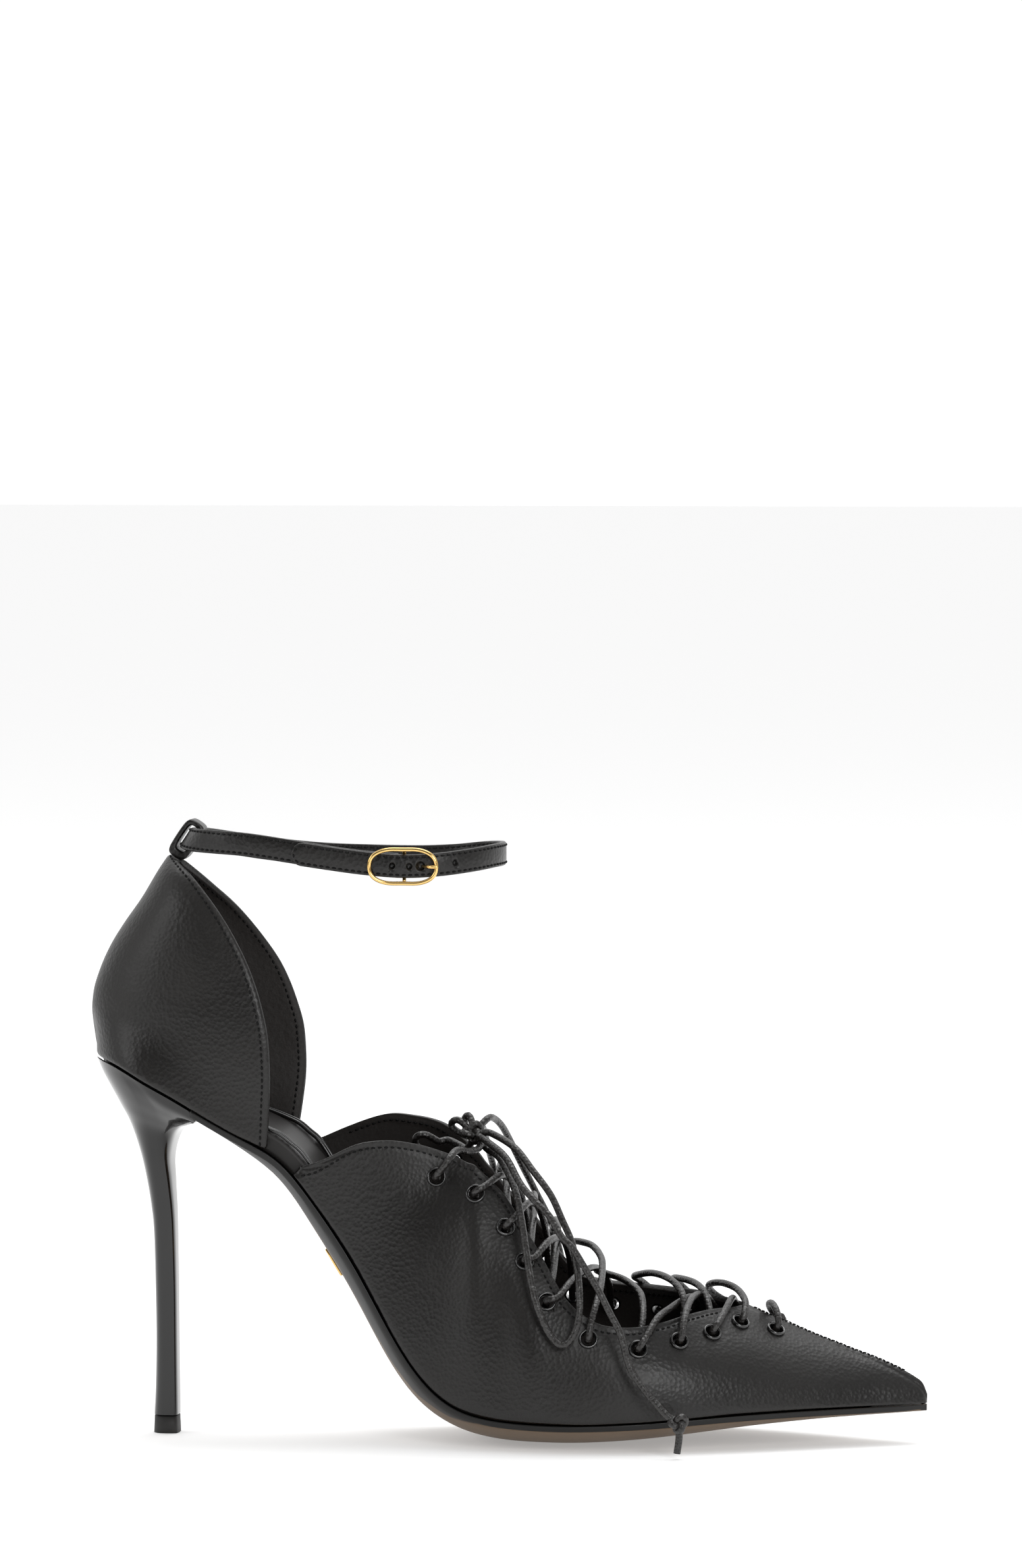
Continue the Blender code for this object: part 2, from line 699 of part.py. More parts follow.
def strap_stations():
    """Middle, outward and upward directions along the strap, buckle end first."""
    lap = STRAP_THICKNESS + FIT_GAP
    seat = strap_seat()
    middle = []
    for forward, side, drop, over in STRAP:
        y = side * STRAP_SPREAD - over * lap * (1.0 if side < 0.1 else 0.0)
        x = seat.x + forward * STRAP_REACH
        middle.append((x, y, seat.z - drop * STRAP_SAG))
    points = smooth_route(middle, STRAP_STEP)
    stations = []
    for i, point in enumerate(points):
        before = points[max(i - 1, 0)]
        after = points[min(i + 1, len(points) - 1)]
        tangent = (after - before).normalized()
        behind = max(seat.x + 0.012 - point.x, 0.0) / 0.012
        lean = math.radians(STRAP_LEAN) * min(behind, 1.0) ** 1.2
        upward = Vector((math.sin(lean), 0.0, math.cos(lean)))
        upward = (upward - tangent * upward.dot(tangent)).normalized()
        stations.append((point, tangent.cross(upward).normalized(), upward))
    return stations


def make_strap(look, buckle_middle):
    """One band from the buckle round through the back loop and over itself."""
    stations = strap_stations()
    count = len(stations)
    corner = STRAP_CORNER
    blunt = 0.0009
    points = []
    for i, (middle, outward, upward) in enumerate(stations):
        from_tip = (count - 1 - i) * STRAP_STEP + blunt
        half = STRAP_WIDTH / 2.0
        if from_tip < half:
            half *= math.sqrt(1.0 - (1.0 - from_tip / half) ** 2)
        thick = STRAP_THICKNESS / 2.0
        outline = (
            (thick, -half + corner), (thick, half - corner),
            (thick - corner, half), (-thick + corner, half),
            (-thick, half - corner), (-thick, -half + corner),
            (-thick + corner, -half), (thick - corner, -half),
        )
        for out, up in outline:
            points.append(middle + outward * out + upward * up)
    size = 8
    faces = []
    for i in range(count - 1):
        for j in range(size):
            a = i * size + j
            b = i * size + (j + 1) % size
            faces.append((a, b, b + size, a + size))
    faces.append(tuple(range(size)))
    faces.append(tuple(range((count - 1) * size, count * size)))
    strap = add_mesh("ankle_strap", points, faces, look, 35.0)
    hole_at = buckle_middle + Vector((PRONG_AHEAD, 0.0, 0.0))
    through = Vector((0.0, 2.0 * STRAP_THICKNESS, 0.0))
    hole = add_rod("prong_hole", hole_at - through, hole_at + through, PRONG_HOLE / 2.0, look)
    cut_with(strap, hole)
    return strap


def hide(thing):
    """Keep a cutter or a joined half out of the model."""
    thing.hide_render = True
    thing.display_type = "WIRE"


def cut_with(thing, cutter):
    """Cut one object by another."""
    modifier = thing.modifiers.new("cut", "BOOLEAN")
    modifier.operation = "DIFFERENCE"
    modifier.object = cutter
    hide(cutter)


def join_with(thing, other):
    """Join another object to this one as one body."""
    modifier = thing.modifiers.new("join", "BOOLEAN")
    modifier.operation = "UNION"
    modifier.object = other
    hide(other)


def tube(name, points, radii, look, sides=8, closed=False):
    """A round tube of varying radius through points, with flat caps unless closed."""
    count = len(points)
    tangents = []
    for i in range(count):
        if closed:
            step = points[(i + 1) % count] - points[i - 1]
        else:
            step = points[min(i + 1, count - 1)] - points[max(i - 1, 0)]
        tangents.append(step.normalized())
    across = tangents[0].orthogonal().normalized()
    verts = []
    for i, point in enumerate(points):
        tangent = tangents[i]
        across = (across - tangent * across.dot(tangent)).normalized()
        other = tangent.cross(across)
        for j in range(sides):
            turn = 2.0 * math.pi * j / sides
            spoke = across * math.cos(turn) + other * math.sin(turn)
            verts.append(point + spoke * radii[i])
    faces = []
    for i in range(count if closed else count - 1):
        k = (i + 1) % count
        shift = 0
        if closed and k == 0:
            shift = closest_shift(verts, i * sides, sides)
        for j in range(sides):
            m = (j + 1) % sides
            a = k * sides + (j + shift) % sides
            b = k * sides + (m + shift) % sides
            faces.append((i * sides + j, i * sides + m, b, a))
    if not closed:
        faces.append(tuple(range(sides)))
        faces.append(tuple(range((count - 1) * sides, count * sides)))
    return add_mesh(name, verts, faces, look, 50.0)


def closest_shift(verts, start, sides):
    """How far the first ring is turned against the last one."""
    reach = [(verts[start] - verts[j]).length for j in range(sides)]
    return reach.index(min(reach))


def add_rod(name, start, end, radius, look, sides=12):
    """A plain round rod between two points."""
    return tube(name, [start, end], [radius, radius], look, sides)


def make_back_loop(look):
    """The leather loop at the top of the counter that holds the strap."""
    lean = math.radians(STRAP_LEAN)
    long_half = STRAP_WIDTH / 2.0 + LOOP_EASE
    short_half = STRAP_THICKNESS / 2.0 + LOOP_EASE
    middle = strap_seat()
    upward = Vector((math.sin(lean), 0.0, math.cos(lean)))
    forward = Vector((math.cos(lean), 0.0, -math.sin(lean)))
    steps = 20
    points = []
    for y in (-LOOP_WIDTH / 2.0, LOOP_WIDTH / 2.0):
        for extra, foot in ((0.0, 0.0), (LOOP_THICKNESS, LOOP_FOOT)):
            for i in range(steps):
                turn = 2.0 * math.pi * i / steps
                up = math.copysign(abs(math.cos(turn)) ** 0.5, math.cos(turn))
                out = math.copysign(abs(math.sin(turn)) ** 0.5, math.sin(turn))
                reach = long_half + extra + (foot if up < 0.0 else 0.0)
                spot = middle + upward * up * reach
                spot = spot + forward * out * (short_half + extra)
                points.append(spot + Vector((0.0, y, 0.0)))
    faces = []
    for i in range(steps):
        k = (i + 1) % steps
        rings = (0, steps, 3 * steps, 2 * steps)
        for j in range(4):
            low = rings[j]
            high = rings[(j + 1) % 4]
            faces.append((low + i, low + k, high + k, high + i))
    return add_mesh("back_loop", points, faces, look, 50.0)


def make_buckle(frame_look, middle):
    """The oval frame with its middle bar behind the strap, and the prong over it."""
    wire = BUCKLE_WIRE / 2.0
    long_half = BUCKLE_LENGTH / 2.0 - wire
    high_half = BUCKLE_HEIGHT / 2.0 - wire
    front = STRAP_THICKNESS / 2.0 + 1.5 * FIT_GAP + wire
    bow = BUCKLE_BOW
    steps = 28
    ring_points = []
    for i in range(steps):
        turn = 2.0 * math.pi * i / steps
        x = math.copysign(abs(math.cos(turn)) ** 0.8, math.cos(turn)) * long_half
        z = math.copysign(abs(math.sin(turn)) ** 0.8, math.sin(turn)) * high_half
        pinch = 1.0 - 0.07 * math.exp(-((x / (0.3 * long_half)) ** 2))
        past = max(abs(z) - 0.5 * STRAP_WIDTH, 0.0) / (high_half - 0.5 * STRAP_WIDTH)
        depth = front - bow * past * past
        ring_points.append(middle + Vector((x, -depth, z * pinch)))
    frame = tube("buckle_frame", ring_points, [wire] * steps, frame_look, 8, True)
    inside = STRAP_THICKNESS / 2.0 + FIT_GAP + wire
    high = high_half * 0.93
    bar_route = [
        middle + Vector((0.0, -(front - bow), high)),
        middle + Vector((0.0, inside * 0.5, high)),
        middle + Vector((0.0, inside, high - 0.0008)),
        middle + Vector((0.0, inside, -high + 0.0008)),
        middle + Vector((0.0, inside * 0.5, -high)),
        middle + Vector((0.0, -(front - bow), -high)),
    ]
    bar = tube("buckle_bar", bar_route, [wire * 0.9] * 6, frame_look, 8)
    join_with(frame, bar)
    thin = PRONG_WIRE / 2.0
    over = front + wire + FIT_GAP + thin
    prong_route = [
        middle + Vector((wire + FIT_GAP + thin, inside, 0.0)),
        middle + Vector((0.0044, inside - 0.0001, 0.0)),
        middle + Vector((0.0053, 0.0008, 0.0)),
        middle + Vector((0.0059, -0.0006, 0.0)),
        middle + Vector((0.0066, -0.0018, 0.0)),
        middle + Vector((0.0080, -over + 0.0003, 0.0)),
        middle + Vector((long_half, -over, 0.0)),
        middle + Vector((long_half + wire, -over, 0.0)),
    ]
    points = smooth_route(prong_route, 0.0011)
    radii = [thin] * (len(points) - 1) + [thin * 0.6]
    return tube("buckle_prong", points, radii, frame_look, 8)


# Eyelets from the ankle to the toe: place along the shoe and up the vamp, as shares
EYELETS = (
    (0.372, 0.825),
    (0.464, 0.845),
    (0.510, 0.815),
    (0.534, 0.785),
    (0.562, 0.740),
    (0.612, 0.780),
    (0.670, 0.735),
    (0.716, 0.720),
    (0.752, 0.715),
    (0.782, 0.730),
    (0.822, 0.735),
)


def eyelet_at(side, number):
    """Centre on the vamp's face and outward direction of an eyelet, 1 by the ankle."""
    along, climb = EYELETS[number - 1]
    centre = vamp_point(along, side, climb)
    ahead = vamp_point(along + 0.006, side, climb) - vamp_point(along - 0.006, side, climb)
    upward = vamp_point(along, side, climb + 0.03) - vamp_point(along, side, climb - 0.03)
    out = ahead.cross(upward).normalized()
    if out.y * side < 0.0:
        out = -out
    return centre, out


def lathe(name, centre, axis, profile, look, steps=10):
    """A closed ring turned round an axis from (radius, height) pairs."""
    turn_to = axis.to_track_quat("Z", "Y").to_matrix()
    verts = []
    for i in range(steps):
        turn = 2.0 * math.pi * i / steps
        for radius, height in profile:
            local = Vector((radius * math.cos(turn), radius * math.sin(turn), height))
            verts.append(centre + turn_to @ local)
    size = len(profile)
    faces = []
    for i in range(steps):
        k = (i + 1) % steps
        for j in range(size):
            m = (j + 1) % size
            faces.append((i * size + j, i * size + m, k * size + m, k * size + j))
    return add_mesh(name, verts, faces, look, 50.0)


def make_eyelets(look, upper):
    """Eleven rolled eyelets a side, each through a hole of the vamp."""
    bore = EYELET_BORE / 2.0
    barrel = bore + EYELET_BARREL
    rim = EYELET_RIM / 2.0
    below = -UPPER_WALL - 0.0004
    profile = (
        (bore, below), (bore, 0.7 * EYELET_PROUD), (0.5 * (bore + rim), EYELET_PROUD),
        (rim, 0.7 * EYELET_PROUD), (rim, FIT_GAP + 0.0001), (barrel, FIT_GAP + 0.0001),
        (barrel, below),
    )
    rods = []
    for side, label in ((LATERAL, "outer"), (MEDIAL, "inner")):
        for number in range(1, len(EYELETS) + 1):
            centre, out = eyelet_at(side, number)
            lathe(f"eyelet_{label}_{number:02d}", centre, out, profile, look)
            start = centre - out * (UPPER_WALL + 0.0012)
            end = centre + out * 0.0012
            rods.append(add_rod("hole", start, end, barrel + FIT_GAP, look, 10))
    work = bmesh.new()
    for rod in rods:
        work.from_mesh(rod.data)
        bpy.data.objects.remove(rod, do_unlink=True)
    mesh = bpy.data.meshes.new("eyelet_holes")
    work.to_mesh(mesh)
    work.free()
    holes = bpy.data.objects.new("eyelet_holes", mesh)
    bpy.context.collection.objects.link(holes)
    cut_with(upper, holes)


# Each crossing: name, one lace as side and eyelet to side and eyelet, the other, arch
CROSSINGS = (
    ("lace_cross_1", (LATERAL, 2, MEDIAL, 3), (MEDIAL, 2, LATERAL, 3), 0.0030),
    ("lace_cross_2", (LATERAL, 3, MEDIAL, 4), (MEDIAL, 3, LATERAL, 4), 0.0035),
    ("lace_cross_3", (LATERAL, 4, MEDIAL, 5), (MEDIAL, 4, LATERAL, 5), 0.0040),
    ("lace_cross_4", (LATERAL, 5, MEDIAL, 6), (LATERAL, 6, MEDIAL, 5), 0.0075),
    ("lace_cross_5", (MEDIAL, 6, LATERAL, 7), None, 0.0050),
    ("lace_cross_6", (LATERAL, 7, MEDIAL, 8), (MEDIAL, 7, LATERAL, 8), 0.0055),
    ("lace_cross_7", (LATERAL, 8, MEDIAL, 9), (MEDIAL, 8, LATERAL, 9), 0.0042),
    ("lace_cross_8", (LATERAL, 9, MEDIAL, 10), (LATERAL, 10, MEDIAL, 9), 0.0035),
)


def crossing_edges(start_side, start, end_side, end):
    """Where a crossing lace passes over one topline and under the other."""
    a = EYELETS[start - 1][0]
    b = EYELETS[end - 1][0]
    over = vamp_point(a + (b - a) * 0.22, start_side, 1.0)
    before_point = 0.80 - 0.45 * blend(0.76, 0.78, b)
    under = vamp_point(a + (b - a) * before_point, end_side, 1.0)
    return over, under


def crossing_route(ends, middle):
    """Out of one eyelet, over the topline, across, and under or back over the other."""
    start_side, start, end_side, end = ends
    half = LACE_WIDTH / 2.0
    first, first_out = eyelet_at(start_side, start)
    last_spot, last_out = eyelet_at(end_side, end)
    over, under = crossing_edges(*ends)
    up = Vector((0.0, 0.0, 1.0))
    outward = Vector((0.0, start_side, 0.0))
    inward = Vector((0.0, -end_side, 0.0))
    lift = half + 0.0014 + 0.0016 * blend(0.70, 0.78, EYELETS[start - 1][0])
    route = [
        first + first_out * 0.0006,
        first + first_out * (half + 0.0020) + up * 0.0008,
        over + outward * (half + 0.0006) + up * lift,
        middle,
    ]
    if end < start:
        route += [
            under - inward * (half + 0.0006) + up * (half + 0.0014),
            last_spot + last_out * (half + 0.0020) + up * 0.0008,
            last_spot + last_out * 0.0006,
        ]
    else:
        rise = 0.0012 - 0.0040 * blend(0.60, 0.74, EYELETS[end - 1][0])
        route += [
            under + inward * (UPPER_WALL + half + 0.0022) + up * rise,
            last_spot - last_out * (UPPER_WALL + half + 0.0024),
            last_spot - last_out * (UPPER_WALL + 0.0010),
        ]
    return route


def make_crossings(look):
    """The lace between the two rows of eyelets, joined where it crosses itself."""
    half = LACE_WIDTH / 2.0
    for name, first, second, arch in CROSSINGS:
        pair = [ends for ends in (first, second) if ends]
        edges = [spot for ends in pair for spot in crossing_edges(*ends)]
        middle = sum(edges, Vector()) / len(edges)
        middle.y *= 0.3
        middle.z += arch
        made = []
        for ends in pair:
            points = smooth_route(crossing_route(ends, middle), 3.0 * LACE_WIDTH)
            nearest = min(range(len(points)), key=lambda i: (points[i] - middle).length)
            points[nearest] = middle + Vector((0.0, 0.0, 0.4 * half * len(made)))
            label = name + "_half" if made else name
            made.append(tube(label, points, [half] * len(points), look, 6))
        if len(made) > 1:
            join_with(*made)
    left, left_out = eyelet_at(LATERAL, 11)
    right, right_out = eyelet_at(MEDIAL, 11)
    crest = vamp_point(EYELETS[10][0] - 0.012, LATERAL, 1.0)
    route = [
        left + left_out * 0.0006,
        left + left_out * (half + 0.0022) + Vector((0.0, 0.0, 0.001)),
        crest + Vector((0.0, -0.0012, half + 0.0019)),
        crest + Vector((0.0, 0.0012, half + 0.0019)),
        right + right_out * (half + 0.0022) + Vector((0.0, 0.0, 0.001)),
        right + right_out * 0.0006,
    ]
    points = smooth_route(route, 2.2 * LACE_WIDTH)
    tube("lace_bar_front", points, [half] * len(points), look, 6)


def make_sole_plate(look):
    """A plain small plate under the arch."""
    depth = -SOLE_CENTRE - SOLE_ARCH
    spot = seat_point(PLATE_ALONG, 0.0, 0.0, depth)
    ahead = seat_point(PLATE_ALONG + 0.01, 0.0, 0.0, depth) - spot
    forward = ahead.normalized()
    side = Vector((0.0, 1.0, 0.0))
    down = side.cross(forward).normalized()
    if down.z > 0.0:
        down = -down
    points = []
    for depth in (PLATE_SINK, PLATE_SINK + PLATE_THICKNESS):
        for a, b in ((-1, -1), (1, -1), (1, 1), (-1, 1)):
            across = side * (b * PLATE_WIDTH / 2.0)
            points.append(spot + forward * (a * PLATE_LENGTH / 2.0) + across + down * depth)
    faces = [(0, 1, 2, 3), (4, 5, 6, 7)]
    faces += [(i, (i + 1) % 4, (i + 1) % 4 + 4, i + 4) for i in range(4)]
    return add_mesh("sole_plate", points, faces, look)


# Routes of the bow, in metres, chosen by hand to follow the lace
BOW_OUTER = (
    (0.0930, -0.0085, 0.0868), (0.1008, -0.0180, 0.0836), (0.1065, -0.0240, 0.0779),
    (0.1120, -0.0280, 0.0715), (0.1156, -0.0310, 0.0648), (0.1186, -0.0340, 0.0589),
    (0.1203, -0.0360, 0.0521), (0.1212, -0.0385, 0.0455), (0.1213, -0.0400, 0.0393),
    (0.1198, -0.0405, 0.0337), (0.1167, -0.0405, 0.0308), (0.1132, -0.0395, 0.0335),
    (0.1100, -0.0395, 0.0403), (0.1078, -0.0380, 0.0474), (0.1059, -0.0352, 0.0565),
    (0.1040, -0.0302, 0.0648), (0.1020, -0.0256, 0.0714), (0.0988, -0.0186, 0.0768),
    (0.0950, -0.0105, 0.0806), (0.0915, -0.0065, 0.0822),
)
BOW_INNER = (
    (0.0912, -0.0010, 0.0905), (0.0922, 0.0050, 0.0898), (0.0936, 0.0110, 0.0872),
    (0.0950, 0.0180, 0.0826), (0.0975, 0.0245, 0.0754), (0.1010, 0.0300, 0.0668),
    (0.1050, 0.0350, 0.0570), (0.1075, 0.0390, 0.0460), (0.1070, 0.0410, 0.0370),
    (0.1035, 0.0410, 0.0320), (0.0995, 0.0400, 0.0360), (0.0965, 0.0375, 0.0450),
    (0.0935, 0.0365, 0.0560), (0.0905, 0.0325, 0.0670), (0.0885, 0.0265, 0.0770),
    (0.0880, 0.0165, 0.0845), (0.0885, 0.0060, 0.0872),
)
LACE_END = (
    (0.0928, -0.0130, 0.0845), (0.0986, -0.0215, 0.0812), (0.1035, -0.0280, 0.0745),
    (0.1079, -0.0320, 0.0703), (0.1123, -0.0348, 0.0664), (0.1161, -0.0380, 0.0610),
    (0.1194, -0.0395, 0.0579), (0.1229, -0.0405, 0.0526), (0.1266, -0.0415, 0.0469),
    (0.1302, -0.0420, 0.0400), (0.1332, -0.0424, 0.0342), (0.1357, -0.0428, 0.0255),
    (0.1393, -0.0434, 0.0198), (0.1429, -0.0442, 0.0158), (0.1462, -0.0450, 0.0124),
)
LEG_OUTER = (
    (0.0826, -0.0262, 0.0790), (0.0855, -0.0225, 0.0835), (0.0870, -0.0165, 0.0842),
    (0.0878, -0.0115, 0.0848),
)
KNOT_AT = Vector((0.0875, -0.0060, 0.0868))
KNOT_HALF = (0.0036, 0.0034, 0.0040)
END_KNOT_AT = Vector((0.1496, -0.0450, 0.0100))
END_KNOT_HALF = (0.0032, 0.0030, 0.0032)


def cord(name, route, look):
    """A lace tube along a route, as a bevelled curve with filled caps."""
    points = smooth_route(route, 3.0 * LACE_WIDTH)
    data = bpy.data.curves.new(name, "CURVE")
    data.dimensions = "3D"
    data.bevel_depth = LACE_WIDTH / 2.0
    data.bevel_resolution = 2
    data.use_fill_caps = True
    spline = data.splines.new("POLY")
    spline.points.add(len(points) - 1)
    for place_at, point in zip(spline.points, points):
        place_at.co = (*point, 1.0)
    data.materials.append(look)
    made = bpy.data.objects.new(name, data)
    bpy.context.collection.objects.link(made)
    return made


def make_knot(name, centre, halves, look):
    """A drawn-up knot as one rounded solid."""
    mesh = bpy.data.meshes.new(name)
    work = bmesh.new()
    bmesh.ops.create_icosphere(work, subdivisions=2, radius=1.0)
    bmesh.ops.scale(work, vec=halves, verts=work.verts)
    bmesh.ops.translate(work, vec=centre, verts=work.verts)
    work.to_mesh(mesh)
    work.free()
    mesh.shade_smooth()
    mesh.materials.append(look)
    made = bpy.data.objects.new(name, mesh)
    bpy.context.collection.objects.link(made)
    return made


def knot_seat(centre, halves, toward):
    """Where a lace coming from a point outside a knot meets its face."""
    away = (Vector(toward) - centre).normalized()
    reach = 1.0 / math.sqrt(sum((a / h) ** 2 for a, h in zip(away, halves)))
    return centre + away * (reach + FIT_GAP)


def make_bow(look):
    """The knot with its two bow loops, the leg from the top eyelet and the long end."""
    half = LACE_WIDTH / 2.0
    make_knot("lace_knot", KNOT_AT, KNOT_HALF, look)
    for name, loop in (("lace_bow_outer", BOW_OUTER), ("lace_bow_inner", BOW_INNER)):
        first = knot_seat(KNOT_AT, KNOT_HALF, loop[0])
        last = knot_seat(KNOT_AT, KNOT_HALF, loop[-1])
        cord(name, [first, *loop, last], look)
    first = knot_seat(KNOT_AT, KNOT_HALF, LACE_END[0])
    last = knot_seat(END_KNOT_AT, END_KNOT_HALF, LACE_END[-1])
    cord("lace_end", [first, *LACE_END, last], look)
    outer, outer_out = eyelet_at(LATERAL, 1)
    start = [outer + outer_out * 0.0006, outer + outer_out * (half + 0.0018)]
    seat = knot_seat(KNOT_AT, KNOT_HALF, LEG_OUTER[-1])
    cord("lace_leg_outer", [*start, *LEG_OUTER, seat], look)
    inner, inner_out = eyelet_at(MEDIAL, 1)
    over = vamp_point(EYELETS[0][0] + 0.012, MEDIAL, 1.0)
    approach = KNOT_AT + Vector((-0.0072, 0.0056, -0.0018))
    route = [
        inner + inner_out * 0.0006,
        inner + inner_out * (half + 0.0030),
        over + Vector((0.0, half + 0.0006, half + 0.0012)),
        over + Vector((0.0010, -0.0060, 0.0030)),
        approach,
        knot_seat(KNOT_AT, KNOT_HALF, approach),
    ]
    cord("lace_leg_inner", route, look)
    make_knot("lace_end_knot", END_KNOT_AT, END_KNOT_HALF, look)
    below = END_KNOT_AT - Vector((0.0, 0.0, END_KNOT_HALF[2] + FIT_GAP))
    foot = Vector((END_KNOT_AT.x - 0.0004, END_KNOT_AT.y, half + 0.0006))
    add_rod("lace_end_tail", below, foot, half, look, 8)


def clear_scene():
    """Start from an empty scene."""
    for thing in list(bpy.data.objects):
        bpy.data.objects.remove(thing, do_unlink=True)


clear_scene()
calf = material("black calf", (0.012, 0.011, 0.011), 0.42)
footbed = material("black footbed", (0.018, 0.016, 0.015), 0.8)
sole_leather = material("sole leather", (0.26, 0.2, 0.14), 0.5)
lacquer = material("black lacquer", (0.006, 0.006, 0.006), 0.08)
rubber = material("black top piece", (0.02, 0.02, 0.02), 0.6)
gold = material("polished gold", (0.83, 0.62, 0.3), 0.15, 1.0)
enamel = material("black enamel", (0.01, 0.01, 0.01), 0.25, 0.3)
waxed = material("black waxed lace", (0.02, 0.018, 0.016), 0.5)

BUCKLE_MIDDLE = strap_seat() + Vector((BUCKLE_SHARE * STRAP_REACH, 0.0, -STRAP_SAG))
BUCKLE_MIDDLE.y = -0.982 * STRAP_SPREAD - STRAP_THICKNESS - FIT_GAP

make_outsole(sole_leather)
make_heel(lacquer)
make_top_piece(rubber)
make_insole(footbed)
make_quarter(calf)
vamp_object = make_vamp(calf)
make_back_loop(calf)
make_strap(calf, BUCKLE_MIDDLE)
make_buckle(gold, BUCKLE_MIDDLE)
make_sole_plate(gold)
make_eyelets(enamel, vamp_object)
make_crossings(waxed)
make_bow(waxed)
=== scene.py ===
"""The black lace up heel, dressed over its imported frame."""
import math

import bmesh
import bpy
import numpy as np
from mathutils import Matrix, Vector


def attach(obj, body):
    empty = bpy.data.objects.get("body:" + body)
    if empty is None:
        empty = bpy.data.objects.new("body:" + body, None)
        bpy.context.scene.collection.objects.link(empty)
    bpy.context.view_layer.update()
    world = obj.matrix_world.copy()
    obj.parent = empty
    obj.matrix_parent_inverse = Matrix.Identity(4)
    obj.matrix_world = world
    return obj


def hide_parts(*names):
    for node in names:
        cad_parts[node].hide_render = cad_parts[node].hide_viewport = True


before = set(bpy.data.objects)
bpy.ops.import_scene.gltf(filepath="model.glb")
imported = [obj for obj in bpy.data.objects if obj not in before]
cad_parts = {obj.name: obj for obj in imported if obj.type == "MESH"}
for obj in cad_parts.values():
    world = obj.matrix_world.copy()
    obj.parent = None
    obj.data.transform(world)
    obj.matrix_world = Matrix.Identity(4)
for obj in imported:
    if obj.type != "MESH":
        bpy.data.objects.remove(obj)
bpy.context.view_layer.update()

# Camera, floor and light.
# A long lens a little to the toe side and above the shoe, a white sweep of paper,
# and large soft lamps as in a studio that shows goods on white.
CAMERA_AT = Vector((0.3935, -2.4824, 0.310))
CAMERA_AIM = Vector((0.0975, 0.0, 0.1849))
CAMERA_LENS = 203.9

scene = bpy.context.scene
scene.view_settings.view_transform = "Standard"
camera = bpy.data.objects.new("camera", bpy.data.cameras.new("camera"))
bpy.context.collection.objects.link(camera)
camera.data.lens = CAMERA_LENS
camera.location = CAMERA_AT
camera.rotation_euler = (CAMERA_AIM - CAMERA_AT).to_track_quat("-Z", "Y").to_euler()
scene.camera = camera


def linear(hex_text):
    """An sRGB hex colour as linear red, green, blue and alpha."""
    shares = [int(hex_text[i:i + 2], 16) / 255.0 for i in (0, 2, 4)]
    curved = [s / 12.92 if s <= 0.04045 else ((s + 0.055) / 1.055) ** 2.4 for s in shares]
    return (*curved, 1.0)


def add_node(look, kind, settings, feeds=None):
    """Add a shader node with its settings, fed by outputs of other nodes."""
    node = look.node_tree.nodes.new("ShaderNode" + kind)
    for name, value in settings.items():
        if isinstance(name, str) and hasattr(node, name):
            setattr(node, name, value)
        else:
            node.inputs[name].default_value = value
    for name, (source, output) in (feeds or {}).items():
        look.node_tree.links.new(source.outputs[output], node.inputs[name])
    return node


def new_look(name):
    """A material with its Principled shader, ready for its nodes."""
    look = bpy.data.materials.new(name)
    look.use_nodes = True
    return look, look.node_tree.nodes["Principled BSDF"]


def set_shader(look, shader, settings, feeds=None):
    """Set the Principled shader's sockets and link what feeds it."""
    for name, value in settings.items():
        shader.inputs[name].default_value = value
    for name, (source, output) in (feeds or {}).items():
        look.node_tree.links.new(source.outputs[output], shader.inputs[name])


def add_area_light(name, place_at, aim, size, power):
    """A square soft lamp."""
    lamp = bpy.data.lights.new(name, "AREA")
    lamp.size = size
    lamp.energy = power
    made = bpy.data.objects.new(name, lamp)
    made.location = place_at
    made.rotation_euler = (Vector(aim) - Vector(place_at)).to_track_quat("-Z", "Y").to_euler()
    bpy.context.collection.objects.link(made)


add_area_light("lamp_left", (-1.7, -1.0, 0.9), (0.06, 0.0, 0.10), 0.8, 7.0)
add_area_light("lamp_right", (1.0, -1.9, 0.9), (0.10, 0.0, 0.08), 0.8, 17.0)
add_area_light("lamp_top", (0.2, 0.6, 2.2), (0.1, 0.0, 0.05), 1.4, 22.0)

# The room: white paper behind and overhead, dark behind the camera, so black leather
# stays black where it faces the lens.
world = bpy.data.worlds.new("white sweep in a dim studio")
world.use_nodes = True
sky = world.node_tree.nodes["Background"]
sky_place = add_node(world, "TexCoord", {})
sky_turn = add_node(
    world, "VectorMath", {"operation": "DOT_PRODUCT", 1: (0.0, 0.75, 0.45)},
    {0: (sky_place, "Generated")},
)
sky_level = add_node(
    world, "MapRange", {"From Min": -0.45, "From Max": 0.6, "To Min": 0.07, "To Max": 1.04},
    {"Value": (sky_turn, "Value")},
)
world.node_tree.links.new(sky_level.outputs["Result"], sky.inputs["Strength"])
sky.inputs["Color"].default_value = (1.0, 1.0, 1.0, 1.0)
scene.world = world

FLOOR_SIZE = 14.0
floor_work = bmesh.new()
bmesh.ops.create_grid(floor_work, x_segments=1, y_segments=1, size=FLOOR_SIZE)
floor_mesh = bpy.data.meshes.new("floor")
floor_work.to_mesh(floor_mesh)
floor_work.free()
floor = bpy.data.objects.new("floor", floor_mesh)
bpy.context.collection.objects.link(floor)
paper, paper_shader = new_look("white paper sweep")
set_shader(paper, paper_shader, {
    "Base Color": linear("efefef"), "Roughness": 0.9, "Specular IOR Level": 0.1,
    "Emission Color": linear("ffffff"), "Emission Strength": 0.3,
})
floor_mesh.materials.append(paper)

